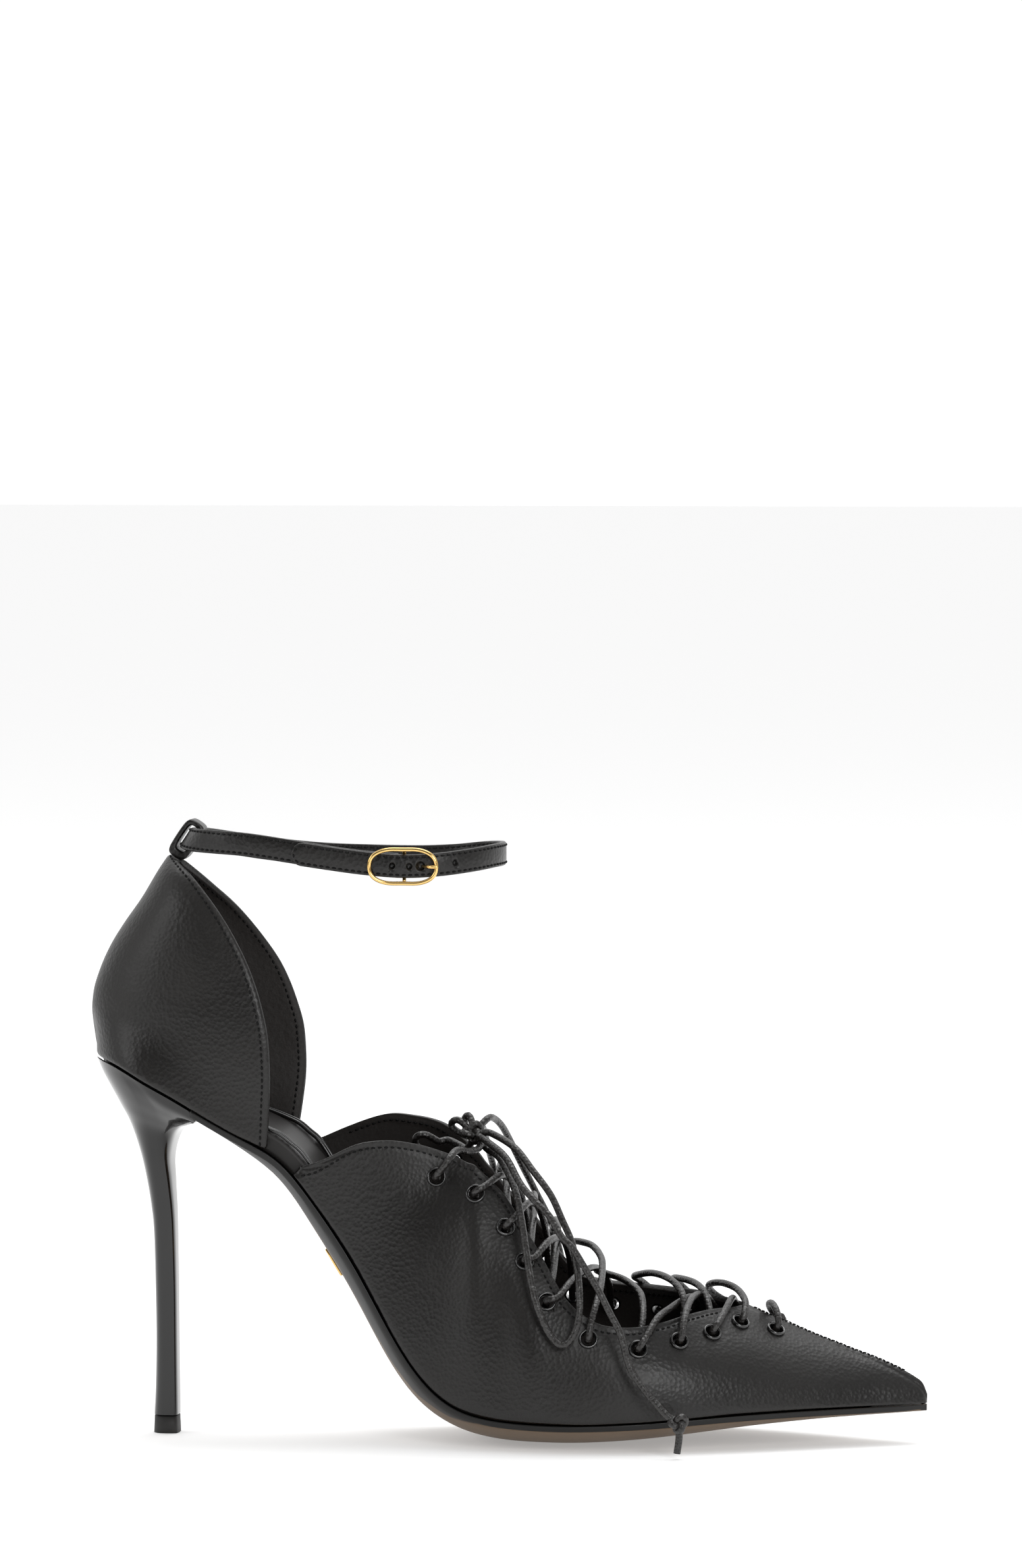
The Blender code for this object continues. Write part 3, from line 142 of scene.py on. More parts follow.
# The vamp: black calf cut low over the waist, laced over the instep, closed at the toe.
# One skin lasted over the forepart, its edge folded in and stitched, lined with
# thin black leather. It follows the last's own sections.
SHOE_LENGTH = 0.2377
BACK_OVERHANG = 0.0220
HEEL_HEIGHT = 0.1077
BALL_WIDTH = 0.0770
BALL_SEAT = 0.0078
TOE_SPRING = 0.0033
INSTEP_HEIGHT = 0.0820
UPPER_WALL = 0.0018
FIT_GAP = 0.0003
LATERAL = -1
MEDIAL = 1

LAST_COLUMNS = ("along", "rise", "spring", "lateral", "medial", "dish")
LAST = (
    (0.006, 1.000, 0.00, 0.318, 0.312, 0.00),
    (0.034, 0.983, 0.00, 0.322, 0.316, 0.00),
    (0.084, 0.925, 0.00, 0.325, 0.318, 0.00),
    (0.110, 0.892, 0.00, 0.329, 0.322, 0.00),
    (0.151, 0.835, 0.00, 0.332, 0.322, 0.08),
    (0.185, 0.790, 0.00, 0.332, 0.317, 0.20),
    (0.227, 0.742, 0.00, 0.327, 0.305, 0.45),
    (0.252, 0.688, 0.00, 0.322, 0.293, 0.70),
    (0.278, 0.605, 0.00, 0.318, 0.280, 0.92),
    (0.303, 0.521, 0.00, 0.316, 0.272, 1.08),
    (0.328, 0.428, 0.00, 0.319, 0.270, 1.20),
    (0.353, 0.320, 0.00, 0.329, 0.277, 1.25),
    (0.379, 0.210, 0.00, 0.350, 0.293, 1.25),
    (0.404, 0.126, 0.00, 0.374, 0.317, 1.20),
    (0.429, 0.068, 0.00, 0.398, 0.345, 1.12),
    (0.454, 0.033, 0.00, 0.424, 0.377, 1.06),
    (0.480, 0.015, 0.00, 0.447, 0.409, 1.02),
    (0.513, 0.005, 0.00, 0.473, 0.448, 1.00),
    (0.555, 0.001, 0.00, 0.495, 0.484, 1.00),
    (0.597, 0.000, 0.00, 0.501, 0.499, 0.96),
    (0.661, 0.000, 0.15, 0.483, 0.494, 0.86),
    (0.724, 0.000, 0.45, 0.434, 0.452, 0.76),
    (0.787, 0.000, 0.76, 0.353, 0.371, 0.62),
    (0.871, 0.000, 0.91, 0.221, 0.234, 0.42),
    (0.934, 0.000, 0.94, 0.119, 0.127, 0.26),
    (0.968, 0.000, 0.97, 0.069, 0.073, 0.14),
    (0.984, 0.000, 1.00, 0.044, 0.047, 0.08),
    (0.993, 0.000, 1.00, 0.029, 0.030, 0.04),
    (0.997, 0.000, 1.00, 0.017, 0.018, 0.02),
    (1.000, 0.000, 1.00, 0.006, 0.006, 0.00),
)
VAMP_COLUMNS = ("along", "tilt", "crest", "lateral_cut", "medial_cut")
VAMP = (
    (0.243, 47.0, 0.744, 0.020, 0.020),
    (0.255, 45.0, 0.756, 0.050, 0.220),
    (0.278, 37.0, 0.780, 0.310, 0.410),
    (0.303, 31.0, 0.805, 0.450, 0.515),
    (0.328, 26.0, 0.829, 0.555, 0.610),
    (0.353, 20.0, 0.866, 0.650, 0.690),
    (0.379, 15.0, 0.915, 0.730, 0.745),
    (0.404, 10.0, 0.963, 0.780, 0.775),
    (0.429, 6.0, 0.994, 0.805, 0.785),
    (0.454, 3.0, 1.000, 0.830, 0.775),
    (0.475, 1.0, 0.976, 0.840, 0.770),
    (0.492, 0.0, 0.927, 0.860, 0.770),
    (0.507, 0.0, 0.884, 0.857, 0.762),
    (0.520, 0.0, 0.841, 0.840, 0.757),
    (0.534, 0.0, 0.793, 0.815, 0.730),
    (0.547, 0.0, 0.756, 0.785, 0.680),
    (0.560, 0.0, 0.720, 0.740, 0.645),
    (0.572, 0.0, 0.683, 0.695, 0.635),
    (0.585, 0.0, 0.650, 0.650, 0.650),
    (0.602, 0.0, 0.612, 0.617, 0.675),
    (0.623, 0.0, 0.567, 0.604, 0.720),
    (0.648, 0.0, 0.522, 0.624, 0.770),
    (0.673, 0.0, 0.483, 0.670, 0.820),
    (0.698, 0.0, 0.448, 0.740, 0.870),
    (0.724, 0.0, 0.415, 0.830, 0.925),
    (0.749, 0.0, 0.383, 0.910, 0.965),
    (0.770, 0.0, 0.361, 0.955, 0.985),
    (0.787, 0.0, 0.339, 1.000, 1.000),
    (0.808, 0.0, 0.310, 1.000, 1.000),
    (0.829, 0.0, 0.284, 1.000, 1.000),
    (0.850, 0.0, 0.256, 1.000, 1.000),
    (0.871, 0.0, 0.230, 1.000, 1.000),
    (0.892, 0.0, 0.207, 1.000, 1.000),
    (0.913, 0.0, 0.183, 1.000, 1.000),
    (0.934, 0.0, 0.161, 1.000, 1.000),
    (0.955, 0.0, 0.135, 1.000, 1.000),
    (0.972, 0.0, 0.111, 1.000, 1.000),
    (0.984, 0.0, 0.090, 1.000, 1.000),
    (0.993, 0.0, 0.071, 1.000, 1.000),
    (0.997, 0.0, 0.048, 1.000, 1.000),
    (0.999, 0.0, 0.027, 1.000, 1.000),
)


def column(table, names, name):
    """A smooth function through one column of a table, over its first column."""
    rows = np.array(table, dtype=float)
    at = rows[:, 0]
    values = rows[:, names.index(name)]
    step = np.diff(at)
    slope = np.diff(values) / step
    tangent = np.zeros_like(values)
    tangent[0] = slope[0]
    tangent[-1] = slope[-1]
    for i in range(1, len(at) - 1):
        if slope[i - 1] * slope[i] > 0.0:
            early = 2.0 * step[i] + step[i - 1]
            late = step[i] + 2.0 * step[i - 1]
            tangent[i] = (early + late) / (early / slope[i - 1] + late / slope[i])

    def value(where):
        i = min(max(int(np.searchsorted(at, where)) - 1, 0), len(step) - 1)
        t = min(max((where - at[i]) / step[i], 0.0), 1.0)
        h = step[i]
        return (
            values[i] * (1 + 2 * t) * (1 - t) ** 2
            + tangent[i] * h * t * (1 - t) ** 2
            + values[i + 1] * t * t * (3 - 2 * t)
            + tangent[i + 1] * h * t * t * (t - 1)
        )

    return value


last = {name: column(LAST, LAST_COLUMNS, name) for name in LAST_COLUMNS[1:]}
vamp = {name: column(VAMP, VAMP_COLUMNS, name) for name in VAMP_COLUMNS[1:]}


def blend(low, high, where):
    """Smooth step from 0 at low to 1 at high."""
    t = min(max((where - low) / (high - low), 0.0), 1.0)
    return t * t * (3.0 - 2.0 * t)


def place(along):
    """Distance in front of the origin of a share of the shoe's length."""
    return along * SHOE_LENGTH - BACK_OVERHANG


def feather_height(along):
    """Height of the line where the upper meets the sole."""
    climb = last["rise"](along) * (HEEL_HEIGHT - BALL_SEAT)
    return BALL_SEAT + climb + last["spring"](along) * TOE_SPRING


def stretch(along):
    """How much longer an upright measure is than one square to the sloping sole."""
    step = 0.004
    climb = feather_height(along + step) - feather_height(along - step)
    return math.hypot(1.0, climb / (2.0 * step * SHOE_LENGTH))


def half_width(along, side):
    """Half width of the last's bottom, rounded off behind the heel."""
    name = "lateral" if side == LATERAL else "medial"
    inward = min(max((along - LAST[0][0]) / 0.085, 0.0), 1.0)
    return last[name](along) * BALL_WIDTH * math.sqrt(1.0 - (1.0 - inward) ** 2)


def vamp_point(along, side, climb):
    """A point of the vamp's outer face: climb is 0 at the sole, 1 at the topline."""
    tilt = math.radians(vamp["tilt"](along))
    crest = vamp["crest"](along) * INSTEP_HEIGHT
    cut = min(vamp["lateral_cut" if side == LATERAL else "medial_cut"](along), 1.0)
    fullness = 2.2 - 0.6 * blend(0.60, 0.92, along)
    ridge = 2.2 - 0.9 * blend(0.62, 0.90, along)
    turn = math.asin(cut ** (fullness / 2.0)) * climb
    swell = 1.0 + 0.045 * math.sin(2.0 * turn)
    out = half_width(along, side) * max(math.cos(turn), 0.0) ** (2.0 / ridge) * swell
    up = crest * math.sin(turn) ** (2.0 / fullness) if turn > 0.0 else 0.0
    x = place(along) + up * math.sin(tilt)
    z = feather_height(along) + FIT_GAP * stretch(along) + up * math.cos(tilt)
    return Vector((x, side * out, z))


def vamp_outward(along, side, climb):
    """The direction square to the vamp's face, pointing out."""
    climb = min(max(climb, 0.04), 0.96)
    ahead = vamp_point(along + 0.006, side, climb) - vamp_point(along - 0.006, side, climb)
    upward = vamp_point(along, side, climb + 0.03) - vamp_point(along, side, climb - 0.03)
    out = ahead.cross(upward).normalized()
    return -out if out.y * side < 0.0 else out


# Soft troughs and rolls that lasting and lacing leave, each as side, along, climb,
# half length along, half height of climb, and depth in metres (negative rolls out).
VAMP_DENTS = (
    (LATERAL, 0.505, 0.30, 0.018, 0.34, 0.0006),
    (LATERAL, 0.470, 0.42, 0.018, 0.30, -0.0004),
    (LATERAL, 0.545, 0.34, 0.018, 0.30, -0.0004),
    (LATERAL, 0.600, 0.40, 0.030, 0.26, 0.0004),
    (LATERAL, 0.660, 0.30, 0.040, 0.30, -0.0003),
    (MEDIAL, 0.515, 0.30, 0.018, 0.34, 0.0008),
    (MEDIAL, 0.590, 0.40, 0.030, 0.26, 0.0004),
)
EYELETS = (
    (0.372, 0.825), (0.464, 0.845), (0.510, 0.815), (0.534, 0.785), (0.562, 0.740),
    (0.612, 0.780), (0.670, 0.735), (0.716, 0.720), (0.752, 0.715), (0.782, 0.730),
    (0.822, 0.735),
)
EYELET_PUCKER = 0.0005
EYELET_REACH = 0.0062
SEAM_INSET = 0.0020
SEAM_SINK = 0.00022
SEAM_HALF = 0.0006


def eyelet_at(side, number):
    """Centre on the vamp's face and outward direction of an eyelet, 1 by the ankle."""
    along, climb = EYELETS[number - 1]
    return vamp_point(along, side, climb), vamp_outward(along, side, climb)


def vamp_dent(along, side, climb, point):
    """How deep the skin sinks at a point, for the troughs and round the eyelets."""
    depth = 0.0
    for where, at, high, long_half, high_half, sunk in VAMP_DENTS:
        if where == side:
            far = ((along - at) / long_half) ** 2 + ((climb - high) / high_half) ** 2
            depth += sunk * math.exp(-far)
    for centre in eyelet_centres[side]:
        far = (point - centre).length / EYELET_REACH
        depth += EYELET_PUCKER * math.exp(-far * far)
    from_edge = (vamp_point(along, side, 1.0) - point).length
    depth += SEAM_SINK * math.exp(-(((from_edge - SEAM_INSET) / SEAM_HALF) ** 2))
    return depth * blend(0.0, 0.06, climb)


eyelet_centres = {
    side: [eyelet_at(side, number)[0] for number in range(1, len(EYELETS) + 1)]
    for side in (LATERAL, MEDIAL)
}


def sheet(work, rows, columns, place_at):
    """Add a grid to a mesh, laid by a function of its two shares."""
    made = bmesh.ops.create_grid(work, x_segments=rows, y_segments=columns, size=0.5)
    for vert in made["verts"]:
        vert.co = place_at(vert.co.x + 0.5, vert.co.y + 0.5)
    return made["verts"]


def finish_mesh(name, work, looks, sharp=None):
    """Turn a bmesh into a smooth-shaded object at the origin."""
    mesh = bpy.data.meshes.new(name)
    work.to_mesh(mesh)
    work.free()
    for look in looks:
        mesh.materials.append(look)
    mesh.shade_smooth()
    if sharp is not None:
        mesh.set_sharp_from_angle(angle=math.radians(sharp))
    made = bpy.data.objects.new(name, mesh)
    bpy.context.collection.objects.link(made)
    return made


def settle(piece, slot, *nodes):
    """Ride a finished piece on the shoe, in place of the nodes that it stands for."""
    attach(piece, "root")
    if nodes:
        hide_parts(*nodes)


def close_up(work):
    """Merge a skin's doubles, fill its open ends and face it outward."""
    bmesh.ops.remove_doubles(work, verts=work.verts, dist=0.00001)
    bmesh.ops.holes_fill(work, edges=[e for e in work.edges if e.is_boundary], sides=0)
    bmesh.ops.recalc_face_normals(work, faces=work.faces)


def face_out(work, centre):
    """Recalculate an open sheet's normals and turn them away from a point inside."""
    bmesh.ops.recalc_face_normals(work, faces=work.faces)
    lean = sum(f.normal.dot(f.calc_center_median() - centre) * f.calc_area() for f in work.faces)
    if lean < 0.0:
        bmesh.ops.reverse_faces(work, faces=work.faces)


# Box calf, drum dyed black and finished with a thin soft glaze: a fine pebbled grain
# under a broad satin shine, with slow changes of gloss where the last has pulled it.
GRAIN = 0.0011
calf, calf_shader = new_look("black box calf")
calf_place = add_node(calf, "TexCoord", {})
calf_slow = add_node(
    calf, "TexNoise", {"Scale": 38.0, "Detail": 3.0}, {"Vector": (calf_place, "Object")},
)
calf_grain = add_node(
    calf, "TexVoronoi", {"Scale": 1.0 / GRAIN, "Randomness": 1.0}, {"Vector": (calf_place, "Object")},
)
calf_pull = add_node(
    calf, "TexNoise", {"Scale": 420.0, "Detail": 4.0, "Roughness": 0.6}, {"Vector": (calf_place, "Object")},
)
calf_tone = add_node(calf, "ValToRGB", {}, {"Fac": (calf_slow, "Fac")})
calf_tone.color_ramp.elements[0].color = linear("0a0909")
calf_tone.color_ramp.elements[1].color = linear("15120f")
calf_gloss = add_node(
    calf, "MapRange", {"From Min": 0.3, "From Max": 0.7, "To Min": 0.34, "To Max": 0.5},
    {"Value": (calf_slow, "Fac")},
)
calf_pebble = add_node(
    calf, "Bump", {"Strength": 0.55, "Distance": 0.0002}, {"Height": (calf_grain, "Distance")},
)
calf_bump = add_node(
    calf, "Bump", {"Strength": 0.3, "Distance": 0.00022},
    {"Height": (calf_pull, "Fac"), "Normal": (calf_pebble, "Normal")},
)
set_shader(
    calf, calf_shader,
    {"IOR": 1.48, "Coat Weight": 0.1, "Coat Roughness": 0.3, "Specular IOR Level": 0.42},
    {
        "Base Color": (calf_tone, "Color"), "Roughness": (calf_gloss, "Result"),
        "Normal": (calf_bump, "Normal"),
    },
)


def add_relief(look, kind, pattern, output, strength, distance):
    """Add a bump from a pattern that lies in the piece's own coordinates."""
    lie = add_node(look, "TexCoord", {})
    made = add_node(look, kind, pattern, {"Vector": (lie, "Object")})
    return add_node(
        look, "Bump", {"Strength": strength, "Distance": distance}, {"Height": (made, output)},
    )


# Lining goat, dyed black and left open: nearly matt, a soft nap and a little brown.
lining, lining_shader = new_look("black lining goat")
lining_nap = add_relief(lining, "TexNoise", {"Scale": 700.0, "Detail": 5.0}, "Fac", 0.5, 0.0003)
set_shader(
    lining, lining_shader,
    {"Base Color": linear("1b1613"), "Roughness": 0.62, "Sheen Weight": 0.12, "Sheen Roughness": 0.4},
    {"Normal": (lining_nap, "Normal")},
)

VAMP_ROWS = 130
VAMP_COLUMNS_EACH = 28
VAMP_START = {LATERAL: 0.2552, MEDIAL: 0.2435}
vamp_work = bmesh.new()
for side in (LATERAL, MEDIAL):

    def vamp_skin(row, rise, side=side):
        """A point of the dented skin from its shares of the vamp's length and height."""
        along = VAMP_START[side] + (1.0 - VAMP_START[side]) * (1.0 - (1.0 - row) ** 1.25)
        climb = 1.0 - (1.0 - rise) ** 1.45
        point = vamp_point(min(along, 0.9995), side, climb)
        point -= vamp_outward(min(along, 0.985), side, climb) * vamp_dent(along, side, climb, point)
        if row > 0.9999:
            point.y = 0.0
        return point

    sheet(vamp_work, VAMP_ROWS, VAMP_COLUMNS_EACH, vamp_skin)
bmesh.ops.remove_doubles(vamp_work, verts=vamp_work.verts, dist=0.00002)
face_out(vamp_work, Vector((0.12, 0.0, 0.02)))
vamp_skin_piece = finish_mesh("vamp_skin", vamp_work, (calf, lining, calf))


def add_wall(piece):
    """Thicken a skin inwards to the upper's wall, lined and with a folded edge."""
    wall = piece.modifiers.new("wall", "SOLIDIFY")
    wall.thickness = UPPER_WALL
    wall.offset = -1.0
    wall.material_offset = 1
    wall.material_offset_rim = 2
    rounding = piece.modifiers.new("rounding", "SUBSURF")
    rounding.levels = 1
    rounding.render_levels = 1


def seated(spot, out):
    """The placing of a thing on a face: its Z axis along the outward direction."""
    return Matrix.Translation(spot) @ out.to_track_quat("Z", "Y").to_matrix().to_4x4()


def add_punch(work, spot, out, radius, depth):
    """Add one round cutter to a mesh of cutters."""
    bmesh.ops.create_cone(
        work, cap_ends=True, segments=20, radius1=radius, radius2=radius, depth=depth,
        matrix=seated(spot, out),
    )


def punch_holes(piece, name, work):
    """Cut the holes of a mesh of cutters through a piece."""
    cutter = finish_mesh(name, work, ())
    cutter.hide_render = True
    cutter.display_type = "WIRE"
    holes = piece.modifiers.new("holes", "BOOLEAN")
    holes.operation = "DIFFERENCE"
    holes.object = cutter


add_wall(vamp_skin_piece)
HOLE_RADIUS = 0.0023
HOLE_DEPTH = 0.0060
holes_work = bmesh.new()
for side in (LATERAL, MEDIAL):
    for number in range(1, len(EYELETS) + 1):
        centre, out = eyelet_at(side, number)
        add_punch(holes_work, centre, out, HOLE_RADIUS, HOLE_DEPTH)
punch_holes(vamp_skin_piece, "eyelet_punch", holes_work)
settle(vamp_skin_piece, "calf", "vamp")

# Stitching: one row of black twisted thread along each folded edge, pulled down into
# the leather, five to six stitches to the centimetre.
STITCH_PITCH = 0.0018
STITCH = Vector((0.00066, 0.00034, 0.00034))

thread, thread_shader = new_look("black bonded nylon thread")
set_shader(thread, thread_shader, {
    "Base Color": linear("040404"), "Roughness": 0.6, "Specular IOR Level": 0.2,
})


def between(a, b, c, d, t):
    """A point between b and c on a smooth curve through a, b, c and d."""
    return 0.5 * (2.0 * b + (c - a) * t + (2.0 * a - 5.0 * b + 4.0 * c - d) * t * t
                  + (3.0 * b - a - 3.0 * c + d) * t ** 3)


def smooth_route(points, spacing):
    """Evenly spread points along a smooth curve through the route's own points."""
    route = [Vector(p) for p in points]
    ends = [route[0] * 2.0 - route[1]] + route + [route[-1] * 2.0 - route[-2]]
    fine = []
    for i in range(len(route) - 1):
        fine += [between(*ends[i:i + 4], j / 12.0) for j in range(12)]
    fine.append(route[-1])
    lengths = [0.0]
    for i in range(1, len(fine)):
        lengths.append(lengths[-1] + (fine[i] - fine[i - 1]).length)
    count = max(int(round(lengths[-1] / spacing)), 2)
    even = []
    for i in range(count + 1):
        want = lengths[-1] * i / count
        k = max(min(int(np.searchsorted(lengths, want)), len(fine) - 1), 1)
        t = (want - lengths[k - 1]) / max(lengths[k] - lengths[k - 1], 1e-9)
        even.append(fine[k - 1].lerp(fine[k], t))
    return even


bead = bmesh.new()
bmesh.ops.create_uvsphere(bead, u_segments=6, v_segments=4, radius=1.0)
bead.verts.index_update()
BEAD_POINTS = [vert.co.copy() for vert in bead.verts]
BEAD_FACES = [[vert.index for vert in face.verts] for face in bead.faces]
bead.free()


def add_bead(work, spot, along, out, size):
    """Add one long bead, such as a stitch, lying along a direction on a surface."""
    across = out.cross(along).normalized()
    up = along.cross(across)
    turned = Matrix((along, across, up)).transposed()
    verts = [work.verts.new(spot + turned @ (point * size)) for point in BEAD_POINTS]
    for face in BEAD_FACES:
        work.faces.new([verts[i] for i in face])


def add_stitches(work, seam):
    """Lay stitches along a seam of points and outward directions."""
    travelled = 0.0
    following = 0.5 * STITCH_PITCH
    for (a, out), (b, _) in zip(seam, seam[1:]):
        run = b - a
        length = run.length
        while following <= travelled + length:
            spot = a + run * ((following - travelled) / length)
            add_bead(work, spot, run.normalized(), out, STITCH)
            following += STITCH_PITCH
        travelled += length


def vamp_seam(side, low, high, below, inside=0.0):
    """A seam a set distance below the topline, from one share of the length to another."""
    seam = []
    steps = 150
    for i in range(steps + 1):
        along = low + (high - low) * i / steps
        top = vamp_point(along, side, 1.0)
        drop = (top - vamp_point(along, side, 0.9)).length / 0.1
        forward = vamp_point(along + 0.004, side, 1.0) - vamp_point(along - 0.004, side, 1.0)
        upward = vamp_point(along, side, 1.0) - vamp_point(along, side, 0.9)
        slant = max(forward.normalized().cross(upward.normalized()).length, 0.35)
        climb = 1.0 - below / (slant * max(drop, 0.004))
        if climb > 0.02:
            point = vamp_point(along, side, climb)
            out = vamp_outward(along, side, climb)
            sunk = vamp_dent(along, side, climb, point) + 0.00002 + inside
            seam.append((point - out * sunk, -out if inside else out))
    return seam


vamp_thread = bmesh.new()
for side in (LATERAL, MEDIAL):
    add_stitches(vamp_thread, vamp_seam(side, 0.2600, 0.7700, SEAM_INSET))
add_stitches(vamp_thread, vamp_seam(MEDIAL, 0.2600, 0.7600, SEAM_INSET, UPPER_WALL))
settle(finish_mesh("vamp_stitches", vamp_thread, (thread,)), "calf")

# The toe seam: the two halves of the vamp meet along the toe's ridge, closed by a
# zigzag of black thread, from the throat to the toe.
ridge_route = []
RIDGE_START = 0.795
RIDGE_END = 0.975
for i in range(40):
    along = RIDGE_START + (RIDGE_END - RIDGE_START) * i / 39.0
    ridge_route.append(vamp_point(along, LATERAL, 1.0))


def tube_curve(name, routes, radius, look, resolution=4):
    """A round cord or bead along one or more routes, as a bevelled curve."""
    data = bpy.data.curves.new(name, "CURVE")
    data.dimensions = "3D"
    data.bevel_depth = radius
    data.bevel_resolution = resolution
    data.use_fill_caps = True
    for route in routes:
        spline = data.splines.new("POLY")
        spline.points.add(len(route) - 1)
        for knot, point in zip(spline.points, route):
            knot.co = (*point, 1.0)
        spline.use_smooth = True
    data.materials.append(look)
    made = bpy.data.objects.new(name, data)
    bpy.context.collection.objects.link(made)
    return made


ZIGZAG_PITCH = 0.0012
ZIGZAG_HALF = 0.0007
ZIGZAG_LIFT = 0.0001
ZIGZAG = Vector((0.0009, 0.0002, 0.00022))
zigzag = bmesh.new()
ridge_fine = smooth_route(ridge_route, ZIGZAG_PITCH)
for i, point in enumerate(ridge_fine[:-1]):
    forward = (ridge_fine[i + 1] - point).normalized()
    slant = (forward * ZIGZAG_PITCH + Vector((0.0, 2.0 * ZIGZAG_HALF, 0.0)) * (-1) ** i).normalized()
    over = Vector((0.0, 0.0, 1.0))
    add_bead(zigzag, point + over * ZIGZAG_LIFT, slant, over, ZIGZAG)
settle(finish_mesh("toe_zigzag", zigzag, (thread,)), "calf")

# The quarter: black calf over a stiff counter, high behind the heel and cut away
# towards the waist. Its front edges are folded and stitched; the lining is black.
COUNTER_HEIGHT = 0.0566
COUNTER_WIDTH = 0.0265
QUARTER_TOP = 9.0
QUARTER_COLUMNS = (
    "row", "back_rise", "back", "lateral_rise", "lateral", "medial_rise", "medial", "width",
)
QUARTER = (
    (0.0, 0.000, 0.006, -0.437, 0.226, -0.437, 0.233, 0.962),
    (1.0, 0.111, 0.002, -0.260, 0.228, -0.260, 0.239, 0.992),
    (2.0, 0.217, 0.000, -0.083, 0.230, -0.083, 0.243, 1.000),
    (3.0, 0.314, 0.002, 0.094, 0.228, 0.085, 0.241, 0.992),
    (4.0, 0.426, 0.010, 0.261, 0.220, 0.253, 0.231, 0.966),
    (5.0, 0.546, 0.023, 0.438, 0.206, 0.420, 0.215, 0.928),
    (6.0, 0.666, 0.041, 0.613, 0.185, 0.581, 0.190, 0.868),
    (7.0, 0.783, 0.061, 0.774, 0.159, 0.726, 0.162, 0.774),
    (8.0, 0.917, 0.080, 0.913, 0.129, 0.853, 0.132, 0.566),
    (9.0, 1.000, 0.093, 0.988, 0.103, 0.970, 0.105, 0.226),
)
quarter = {name: column(QUARTER, QUARTER_COLUMNS, name) for name in QUARTER_COLUMNS[1:]}


def quarter_point(row, side, turn):
    """A point of the quarter: row climbs from 0 to 9, turn is 0 at the back."""
    name = "lateral" if side == LATERAL else "medial"
    back = quarter["back"](row)
    back_rise = quarter["back_rise"](row)
    roundness = 2.0 / 2.3
    forward = 1.0 - max(math.cos(turn), 0.0) ** roundness
    outward = math.sin(turn) ** roundness if turn > 0.0 else 0.0
    along = back + (quarter[name](row) - back) * forward
    upper = quarter["width"](row) * COUNTER_WIDTH * outward
    lower = half_width(along, side)
    y = lower + (upper - lower) * blend(0.0, 2.5, row)
    level = back_rise + (quarter[name + "_rise"](row) - back_rise) * forward
    base = HEEL_HEIGHT + quarter["lateral_rise"](0.0) * forward * COUNTER_HEIGHT
    settle_down = 1.0 - blend(0.0, 3.0, row)
    z = HEEL_HEIGHT + level * COUNTER_HEIGHT + (feather_height(along) - base) * settle_down
    return Vector((place(along), side * y, z + FIT_GAP * stretch(along)))


def quarter_skin(row, around):
    """A point of the quarter from its shares up and round, from edge to edge."""
    swing = 2.0 * around - 1.0
    side = LATERAL if swing < 0.0 else MEDIAL
    return quarter_point(QUARTER_TOP * row, side, abs(swing) * math.pi / 2.0)


quarter_work = bmesh.new()
sheet(quarter_work, 36, 64, quarter_skin)
bmesh.ops.remove_doubles(quarter_work, verts=quarter_work.verts, dist=0.00001)
face_out(quarter_work, Vector((0.02, 0.0, 0.12)))
quarter_piece = finish_mesh("quarter_skin", quarter_work, (calf, lining, calf))
add_wall(quarter_piece)
settle(quarter_piece, "calf", "quarter")


def quarter_seam(side, inward, inside=0.0):
    """A seam set back from one front edge of the quarter, foot to top."""
    seam = []
    for i in range(121):
        row = QUARTER_TOP * i / 120.0
        edge = quarter_point(row, side, math.pi / 2.0)
        behind = quarter_point(row, side, math.pi / 2.0 - 0.2)
        turn = math.pi / 2.0 - min(0.2 * inward / max((edge - behind).length, 0.0004), 0.7)
        point = quarter_point(row, side, turn)
        ahead = quarter_point(row, side, turn + 0.05) - quarter_point(row, side, turn - 0.05)
        above = quarter_point(min(row + 0.1, QUARTER_TOP), side, turn)
        upward = above - quarter_point(max(row - 0.1, 0.0), side, turn)
        out = ahead.cross(upward).normalized()
        if out.y * side < 0.0:
            out = -out
        seam.append((point - out * inside, -out if inside else out))
    return seam


QUARTER_INSET = 0.0019
quarter_thread = bmesh.new()
for side in (LATERAL, MEDIAL):
    add_stitches(quarter_thread, quarter_seam(side, QUARTER_INSET))
    add_stitches(quarter_thread, quarter_seam(side, QUARTER_INSET, UPPER_WALL))
settle(finish_mesh("quarter_stitches", quarter_thread, (thread,)), "calf")


# The sole: sole bend, sanded and sealed below, its edge trimmed, painted black and
# ironed to a thin bright line.
def refine(name, node, looks, levels, crease_angle):
    """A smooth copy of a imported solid: merged, back to quads, sharp edges creased."""
    work = bmesh.new()
    work.from_mesh(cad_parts[node].data)
    bmesh.ops.remove_doubles(work, verts=work.verts, dist=0.000005)
    bmesh.ops.join_triangles(
        work, faces=work.faces, angle_face_threshold=math.radians(35.0),
        angle_shape_threshold=math.radians(65.0),
    )
    crease = work.edges.layers.float.new("crease_edge")
    for edge in work.edges:
        if edge.is_manifold and edge.calc_face_angle(0.0) > math.radians(crease_angle):
            edge[crease] = 0.9
    made = finish_mesh(name, work, looks)
    smooth = made.modifiers.new("rounding", "SUBSURF")
    smooth.levels = levels
    smooth.render_levels = levels
    return made


